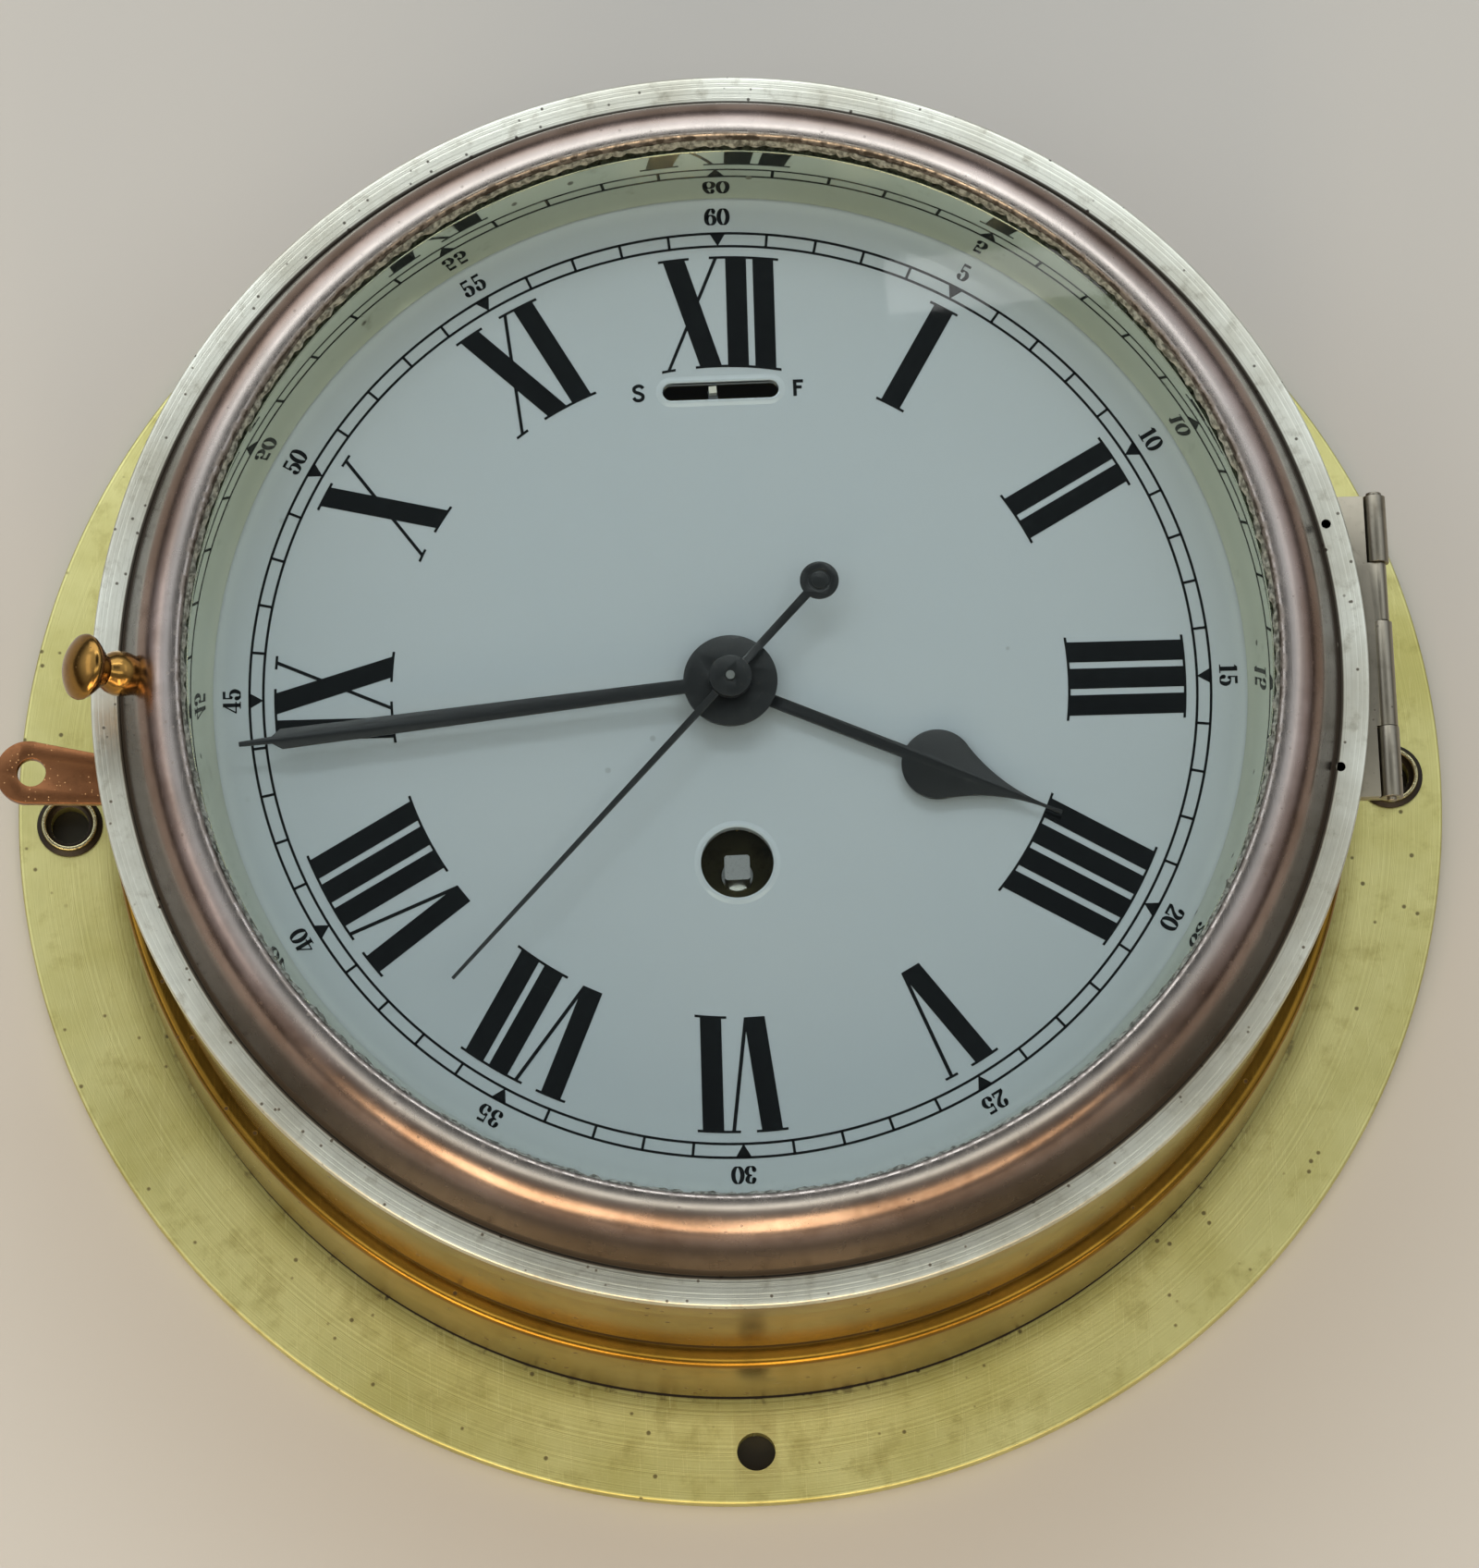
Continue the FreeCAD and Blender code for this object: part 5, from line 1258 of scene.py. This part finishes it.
def united(name, strokes, front, back):
    """Thin solids from outlines, united where they overlap."""
    piece = prism(name, strokes, front, back)
    group, sizes, names = geometry_tree(name + "_unite", [])
    whole = sizes["Geometry"].node(
        "GeometryNodeMeshBoolean",
        {"operation": "UNION", "solver": "EXACT"},
        {"Mesh 2": sizes["Geometry"], "Self Intersection": True},
    )
    close_tree(group, whole, black_enamel)
    run_tree(piece, group, names, {})
    for face in piece.data.polygons:
        face.use_smooth = False
    return piece


numerals = united("hour_numerals", hour_strokes, PRINT_FRONT - 0.03, DIAL_FRONT + 0.1)
settle(numerals, "case", "hand_black", black_enamel)

# %% [markdown]
# The minute figures are Arabic, in a fat-face style: a broad nib held level, so that strokes swell as they
# run down the page and thin out as they run across. Drawing each figure as a path and working out the
# width from the path's direction gives that contrast to every curve by itself.

# %% Arabic figures with a broad nib

FIGURE_H = 3.0
FIGURE_MIDDLE_R = 82.95
NIB_THICK = 0.72
NIB_THIN = 0.20


def blend(t, before, start, end, after):
    """A smooth curve from start to end that heads the way its neighbours ask."""
    square = (2 * before - 5 * start + 4 * end - after) * t ** 2
    cube = (3 * start - before - 3 * end + after) * t ** 3
    return 0.5 * (2 * start + (end - before) * t + square + cube)


def smooth_path(points, closed, steps=7):
    """A path that passes smoothly through its points."""
    count = len(points)
    path = []
    for n in range(count if closed else count - 1):
        if closed:
            a, b, c, d = (points[(n + k) % count] for k in (-1, 0, 1, 2))
        else:
            a, b, c, d = (points[min(max(n + k, 0), count - 1)] for k in (-1, 0, 1, 2))
        for step in range(steps):
            t = step / steps
            path.append(tuple(blend(t, *numbers) for numbers in zip(a, b, c, d)))
    if not closed:
        path.append(points[-1])
    return path


def nib_strokes(points, closed=False, smooth=True, thick=NIB_THICK, thin=NIB_THIN):
    """The outline that a broad nib leaves along a path, or two for a path that closes."""
    path = smooth_path(points, closed) if smooth else list(points)
    if closed:
        path = path + path[:1]
    sides = []
    for n, here in enumerate(path):
        before = path[n - 1] if n else (path[-2] if closed else here)
        after = path[n + 1] if n + 1 < len(path) else (path[1] if closed else here)
        along = Vector((after[0] - before[0], after[1] - before[1])).normalized()
        half = (thin + (thick - thin) * abs(along.y) ** 1.5) / 2
        across = Vector((along.y, -along.x)) * half
        sides.append((Vector(here) - across, Vector(here) + across))
    if closed:
        outer = [tuple(right) for left, right in sides[:-1]]
        inner = [tuple(left) for left, right in sides[:-1]]
        return half_rings(outer, inner)
    return [[tuple(left) for left, right in sides] + [tuple(right) for left, right in reversed(sides)]]


def half_rings(outer, inner):
    """A closed ribbon cut in two halves, so that each half is one simple outline."""
    half = len(outer) // 2
    first = outer[:half + 1] + inner[:half + 1][::-1]
    second = outer[half:] + outer[:1] + (inner[half:] + inner[:1])[::-1]
    return [first, second]


def oval(x, y, wide, high, sides):
    turns = [2 * math.pi * n / sides for n in range(sides)]
    return [(x + wide * math.cos(a), y + high * math.sin(a)) for a in turns]


def dot(x, y, radius=0.36):
    return oval(x, y, radius, radius, 12)


# Each figure stands on 0, is 3 high and is centred on 0.
FIGURES = {
    "0": nib_strokes(oval(0.0, 1.5, 0.75, 1.38, 10), closed=True),
    "1": [box_outline(-0.36, 0.36, 0.0, 3.0), box_outline(-0.75, 0.75, 0.0, 0.2)]
    + [[(-0.75, 2.5), (-0.36, 2.5), (-0.36, 3.0), (-0.5, 2.8)]],
    "2": nib_strokes(
        [(-0.6, 2.15), (-0.3, 2.8), (0.25, 2.85), (0.68, 2.25), (0.3, 1.45), (-0.4, 0.75), (-0.8, 0.2)]
    )
    + [dot(-0.55, 2.15), box_outline(-0.95, 0.95, 0.0, 0.42), box_outline(0.72, 0.95, 0.0, 0.85)],
    "3": nib_strokes([(-0.6, 2.3), (-0.2, 2.85), (0.35, 2.75), (0.6, 2.25), (0.3, 1.7), (-0.15, 1.6)])
    + nib_strokes([(-0.15, 1.6), (0.45, 1.4), (0.7, 0.85), (0.35, 0.2), (-0.25, 0.15), (-0.65, 0.65)])
    + [dot(-0.52, 2.25), dot(-0.55, 0.7)],
    "4": nib_strokes([(-0.9, 0.8), (0.3, 2.9)], smooth=False, thick=0.22)
    + [box_outline(0.1, 0.74, 0.0, 3.0), box_outline(-1.0, 1.0, 0.7, 0.92)]
    + [box_outline(-0.2, 1.0, 0.0, 0.18)],
    "5": nib_strokes(
        [(-0.55, 1.45), (-0.1, 1.8), (0.45, 1.6), (0.7, 0.95), (0.35, 0.2), (-0.25, 0.15), (-0.65, 0.65)]
    )
    + [dot(-0.55, 0.7), box_outline(-0.66, -0.44, 1.4, 3.0), box_outline(-0.6, 0.65, 2.55, 3.0)],
    "6": nib_strokes(oval(0.0, 0.95, 0.68, 0.83, 10), closed=True)
    + nib_strokes([(0.6, 2.3), (0.3, 2.85), (-0.2, 2.75), (-0.65, 2.0), (-0.72, 1.0)])
    + [dot(0.5, 2.3, 0.3)],
}
ADVANCE = {"1": 1.7}


def figure_strokes(word, clockwise):
    """A number written across the dial's edge with its feet to the centre."""
    widths = [ADVANCE.get(letter, 2.15) for letter in word]
    left = -sum(widths) / 2
    placed = []
    for letter, width in zip(word, widths):
        for outline in FIGURES[letter]:
            shifted = [(left + width / 2 + x, FIGURE_MIDDLE_R - FIGURE_H / 2 + y) for x, y in outline]
            placed.append(turned_outline(shifted, clockwise))
        left += width
    return placed


minute_strokes = [line for n in range(12) for line in figure_strokes(str(5 * n or 60), 30 * n)]
figures = united("minute_figures", minute_strokes, PRINT_FRONT, DIAL_FRONT + 0.1)
settle(figures, "case", "hand_black", black_enamel)

# %% [markdown]
# Either side of the rating slot stand plain letters, S for slow and F for fast.

# %% Slow and fast letters

LETTER_W = 0.58
SLOW_ASIDE = 13.8
FAST_ASIDE = 13.0


def letter_at(strokes, x, z):
    return [[(x + u, z + v) for u, v in outline] for outline in strokes]


letter_s = nib_strokes(
    [(0.8, 0.85), (0.45, 1.2), (-0.1, 1.28), (-0.72, 0.9), (-0.6, 0.3), (0.1, 0.0),
     (0.68, -0.4), (0.62, -1.0), (0.05, -1.28), (-0.55, -1.15), (-0.85, -0.75)],
    thick=LETTER_W, thin=LETTER_W,
)
letter_f = [box_outline(-0.8, -0.22, -1.45, 1.45), box_outline(-0.8, 0.9, 0.9, 1.45)]
letter_f += [box_outline(-0.8, 0.65, -0.15, 0.38)]
slow_fast = letter_at(letter_s, SLOT_AT[0] - SLOW_ASIDE, SLOT_AT[1])
slow_fast += letter_at(letter_f, SLOT_AT[0] + FAST_ASIDE, SLOT_AT[1])
letters = united("slow_fast_letters", slow_fast, PRINT_FRONT, DIAL_FRONT + 0.1)
settle(letters, "case", "hand_black", black_enamel)

# %% [markdown]
# ## Flat parts with softened edges
#
# The hands, the hinge leaves and the latch lever have the right shape in the model, but their edges are
# perfectly sharp. A copy of each mesh is merged, its flat faces are joined up again, and a narrow bevel
# rounds the edges so that they catch the light.

# %% Copy and bevel


def softened(node, name, width, body, slot, material, segments=3):
    """A copy of a node with rounded edges."""
    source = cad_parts[node].data
    mesh = bpy.data.meshes.new(name)
    mesh.from_pydata([v.co for v in source.vertices], [], [tuple(f.vertices) for f in source.polygons])
    work = bmesh.new()
    work.from_mesh(mesh)
    bmesh.ops.remove_doubles(work, verts=work.verts, dist=2e-6)
    bmesh.ops.dissolve_limit(work, angle_limit=math.radians(1.0), verts=work.verts, edges=work.edges)
    work.to_mesh(mesh)
    work.free()
    piece = new_object(name, mesh)
    bevel = piece.modifiers.new("soft edges", "BEVEL")
    bevel.width = width * MM
    bevel.segments = segments
    bevel.limit_method = "ANGLE"
    bevel.angle_limit = math.radians(32)
    bevel.use_clamp_overlap = True
    applied(piece)
    smoothed(piece.data)
    return settle(piece, body, slot, material, node)


HAND_EDGE = 0.12
softened("hour_hand", "hour_hand_spade", HAND_EDGE, "hours", "hand_black", hand_black)
softened("minute_hand", "minute_hand_blade", HAND_EDGE, "minutes", "hand_black", hand_black)
softened("seconds_hand", "seconds_hand_fine", 0.08, "seconds", "hand_black", hand_black)
softened("latch_lever", "latch_lever_flat", 0.25, "latch", "lever_copper", lever_copper)
softened("hinge_leaf_case", "hinge_leaf_fixed", 0.15, "case", "hinge_nickel", hinge_nickel)
softened("hinge_leaf_door", "hinge_leaf_moving", 0.15, "bezel_door", "hinge_nickel", hinge_nickel)
softened("hinge_pin", "hinge_pin_riveted", 0.15, "case", "hinge_nickel", hinge_nickel)

# %% [markdown]
# ## The rest of the model
#
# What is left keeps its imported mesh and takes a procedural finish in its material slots: the movement behind
# the dial, the screws, the posts and the latch's catch.

# %% Finishes for the carried-over nodes

KEPT_FINISH = dict(
    case_brass=case_brass, worn_nickel=hinge_nickel, knob_brass=knob_brass, cup_bronze=cup_tarnish,
    lever_copper=lever_copper, hinge_nickel=hinge_nickel, dial_enamel=dial_enamel, hand_black=hand_black,
    window_glass=window_glass, putty=putty, sight_brass=sight_brass, movement_brass=movement_brass,
    movement_steel=movement_steel, spring_steel=spring_steel, index_white=index_white,
    cover_brass=cover_brass,
)
OWN_FINISH = {"ratchet_wheel": oiled_steel, "winding_arbor": square_steel}
dressed_nodes = 0
for title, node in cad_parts.items():
    for place in node.material_slots:
        name = place.material.name.split(".")[0] if place.material else ""
        if name in KEPT_FINISH:
            place.material = OWN_FINISH.get(title, KEPT_FINISH[name])
            dressed_nodes += 1
print("nodes given a finish:", dressed_nodes)

# %% [markdown]
# ## Wall, floor and light
#
# The clock hangs on a plain pale wall above a pale floor. Both are one-sided, so that the clock can also be
# looked at from behind. Light is what shapes polished metal: soft panels above and in front, strips at the
# sides that draw long lines along the roll, and warm low lamps that put copper streaks into its underside.
# The room itself is pale in front and darker behind the wall. Where the glass mirrors it there is a dark
# doorway, so that the black numerals stay black.

# %% Stage


def stage_material(name, colour):
    """Matt paint that can only be seen from its front."""
    material, s = empty_material(name)
    tone = s.mix(s.cloud(400.0, 2.0) * 0.15, shade(colour), shade("B4B0A8"))
    paint = s.start.node("ShaderNodeBsdfDiffuse", sockets={"Color": tone})
    clear = s.start.node("ShaderNodeBsdfTransparent")
    behind = s.start.node("ShaderNodeNewGeometry", output=6)
    both = s.start.node("ShaderNodeMixShader", sockets={0: behind, 1: paint, 2: clear})
    s.start.node("ShaderNodeOutputMaterial", sockets={"Surface": both})
    return material


def stage_plane(name, corners, material):
    mesh = bpy.data.meshes.new(name)
    mesh.from_pydata(corners, [], [(0, 1, 2, 3)])
    mesh.materials.append(material)
    plane = new_object(name, mesh)
    plane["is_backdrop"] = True
    return plane


WALL_Y = 0.0006
SOCKET_Y = 0.0002
FLOOR_Z = -1.6
HALF = 3.0
pale = stage_material("stage_paint", "C4C1BB")
skirting = [(-HALF, WALL_Y, FLOOR_Z), (HALF, WALL_Y, FLOOR_Z)]
wall_top = [(HALF, WALL_Y, HALF), (-HALF, WALL_Y, HALF)]
floor_front = [(-HALF, -2 * HALF, FLOOR_Z), (HALF, -2 * HALF, FLOOR_Z)]
stage_plane("stage_wall", skirting + wall_top, pale)
stage_plane("stage_floor", floor_front + skirting[::-1], pale)
# Painted shade: a near-black patch on the wall behind each screw hole stands for the shadowed inside of a hole
# drilled in the wall.
socket_shade_paint = stage_material("stage_socket", "0C0A08")
for turn in (0, 90, 180, 270):
    x, z = polar(WALL_SCREW_R, turn)
    half = WALL_HOLE_R + 0.6
    patch = box_outline(x - half, x + half, z - half, z + half)
    stage_plane(f"stage_socket_{turn}", [(px * MM, SOCKET_Y, pz * MM) for px, pz in patch], socket_shade_paint)
print("wall, floor and sockets staged")

# %% Lights


def softbox(name, place, aim, size, power, colour=(1.0, 1.0, 1.0)):
    """A rectangular soft light at a place, turned to face another."""
    data = bpy.data.lights.new(name, "AREA")
    data.shape = "RECTANGLE"
    data.size, data.size_y = size
    data.energy = power
    data.color = colour
    light = bpy.data.objects.new(name, data)
    light.location = place
    light.rotation_euler = (Vector(aim) - Vector(place)).to_track_quat("-Z", "Y").to_euler()
    scene.collection.objects.link(light)
    return light


HEART = (0.0, -0.08, 0.0)


def panel(name, place, size, radiance, colour=(1.0, 1.0, 1.0)):
    """A softbox of a given brightness, whatever its size."""
    return softbox(name, place, HEART, size, math.pi * size[0] * size[1] * radiance, colour)


panel("ceiling", (-0.35, -1.25, 1.65), (2.4, 1.1), 1.3, (0.97, 0.99, 1.0))
panel("side_left", (-1.5, -1.25, 0.25), (0.4, 1.4), 1.0, (1.0, 0.98, 0.95))
panel("side_right", (1.3, -1.6, 0.45), (0.30, 1.2), 0.8, (0.97, 0.99, 1.0))
panel("front_low", (0.0, -1.6, -0.40), (1.6, 0.32), 1.9, (0.98, 1.0, 0.88))
for across, wide, radiance in (
    (-0.71, 0.50, 6.5), (-0.26, 0.12, 6.5), (0.09, 0.22, 6.5), (0.37, 0.18, 3.0), (0.74, 0.14, 5.5)
):
    panel("warm_low", (across, -0.60, -1.12), (wide, 0.70), radiance, (1.0, 0.76, 0.47))
panel("front_high", (-0.05, -1.75, 1.20), (1.9, 0.26), 3.4, (0.96, 0.99, 1.0))
panel("glass_gleam", (0.36, -2.0, 0.90), (0.40, 0.045), 2.6)
panel("back_light", (0.6, 1.6, 0.9), (1.2, 1.2), 4.0)

world = bpy.data.worlds.new("studio")
scene.world = world
world.use_nodes = True
world.node_tree.nodes.clear()
sky = Signal(world.node_tree)
direction = sky.node("ShaderNodeTexCoord", output=0)
depth = sky.node("ShaderNodeSeparateXYZ", sockets={0: direction}, output=1)
height = sky.node("ShaderNodeSeparateXYZ", sockets={0: direction}, output=2)


def sky_ramp(*stops):
    """Colours from straight below to straight above."""
    stops = [(position, shade(code)) for position, code in stops]
    return sky.node("ShaderNodeValToRGB", {"stops": stops}, {0: height * 0.5 + 0.5})


def sky_mask(value, low, high):
    settings = {"interpolation_type": "SMOOTHSTEP"}
    return sky.node("ShaderNodeMapRange", settings, {"Value": value, 1: low, 2: high})


def sky_mix(mask, first, second):
    return sky.node("ShaderNodeMix", {"data_type": "RGBA"}, {0: mask, 6: first, 7: second}, output=2)


room = sky_ramp((0.0, "86786C"), (0.40, "B0B2B4"), (0.62, "DDE3EA"), (1.0, "E4ECF4"))
corner = sky_ramp((0.0, "3A2818"), (0.5, "4A423C"), (1.0, "4E5258"))
DOORWAY = (0.0, -0.964, 0.265)
DOORWAY_DARK = "3A3C3E"
dot_product = {"operation": "DOT_PRODUCT"}
towards = sky.node("ShaderNodeVectorMath", dot_product, {0: direction, 1: DOORWAY}, output=1)
glow = sky_mix(sky_mask(depth * -1.0, 0.10, 0.50), corner, room)
glow = sky_mix(sky_mask(towards, 0.915, 0.975), glow, shade(DOORWAY_DARK))
backdrop = sky.node("ShaderNodeBackground", sockets={"Color": glow, "Strength": 1.22})
sky.node("ShaderNodeOutputWorld", sockets={"Surface": backdrop})

# %% [markdown]
# ## Camera
#
# The camera stands a little below the clock and to its left and looks up at it through a long lens, tilted by
# about two degrees. Its place is given by a point and two directions, and the third follows from them.

# %% Camera

camera_data = bpy.data.cameras.new("camera")
camera_data.sensor_width = 36.0
camera_data.lens = 185.6
camera_data.clip_end = 50.0
camera = bpy.data.objects.new("camera", camera_data)
looking = Vector((0.01107, 0.96419, 0.26499)).normalized()
upward = Vector((0.03695, -0.26522, 0.96348))
upward = (upward - looking * upward.dot(looking)).normalized()
right_hand = looking.cross(upward)
axes = Matrix((right_hand, upward, -looking)).transposed()
camera.matrix_world = Matrix.Translation((-0.01396, -1.36682, -0.37182)) @ axes.to_4x4()
scene.collection.objects.link(camera)
scene.camera = camera
scene.view_settings.view_transform = "Standard"
print("camera looks up", round(math.degrees(math.asin(looking.z)), 1), "degrees")

# %% [markdown]
# ## Size of the finished pieces
#
# The finished pieces should fill the same box as the CAD model, so both boxes are printed.

# %% Sizes

visual_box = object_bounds()
for name, box in (("cad", cad_box), ("visual", visual_box)):
    print(name, [round(c / MM, 1) for corner in box for c in corner])
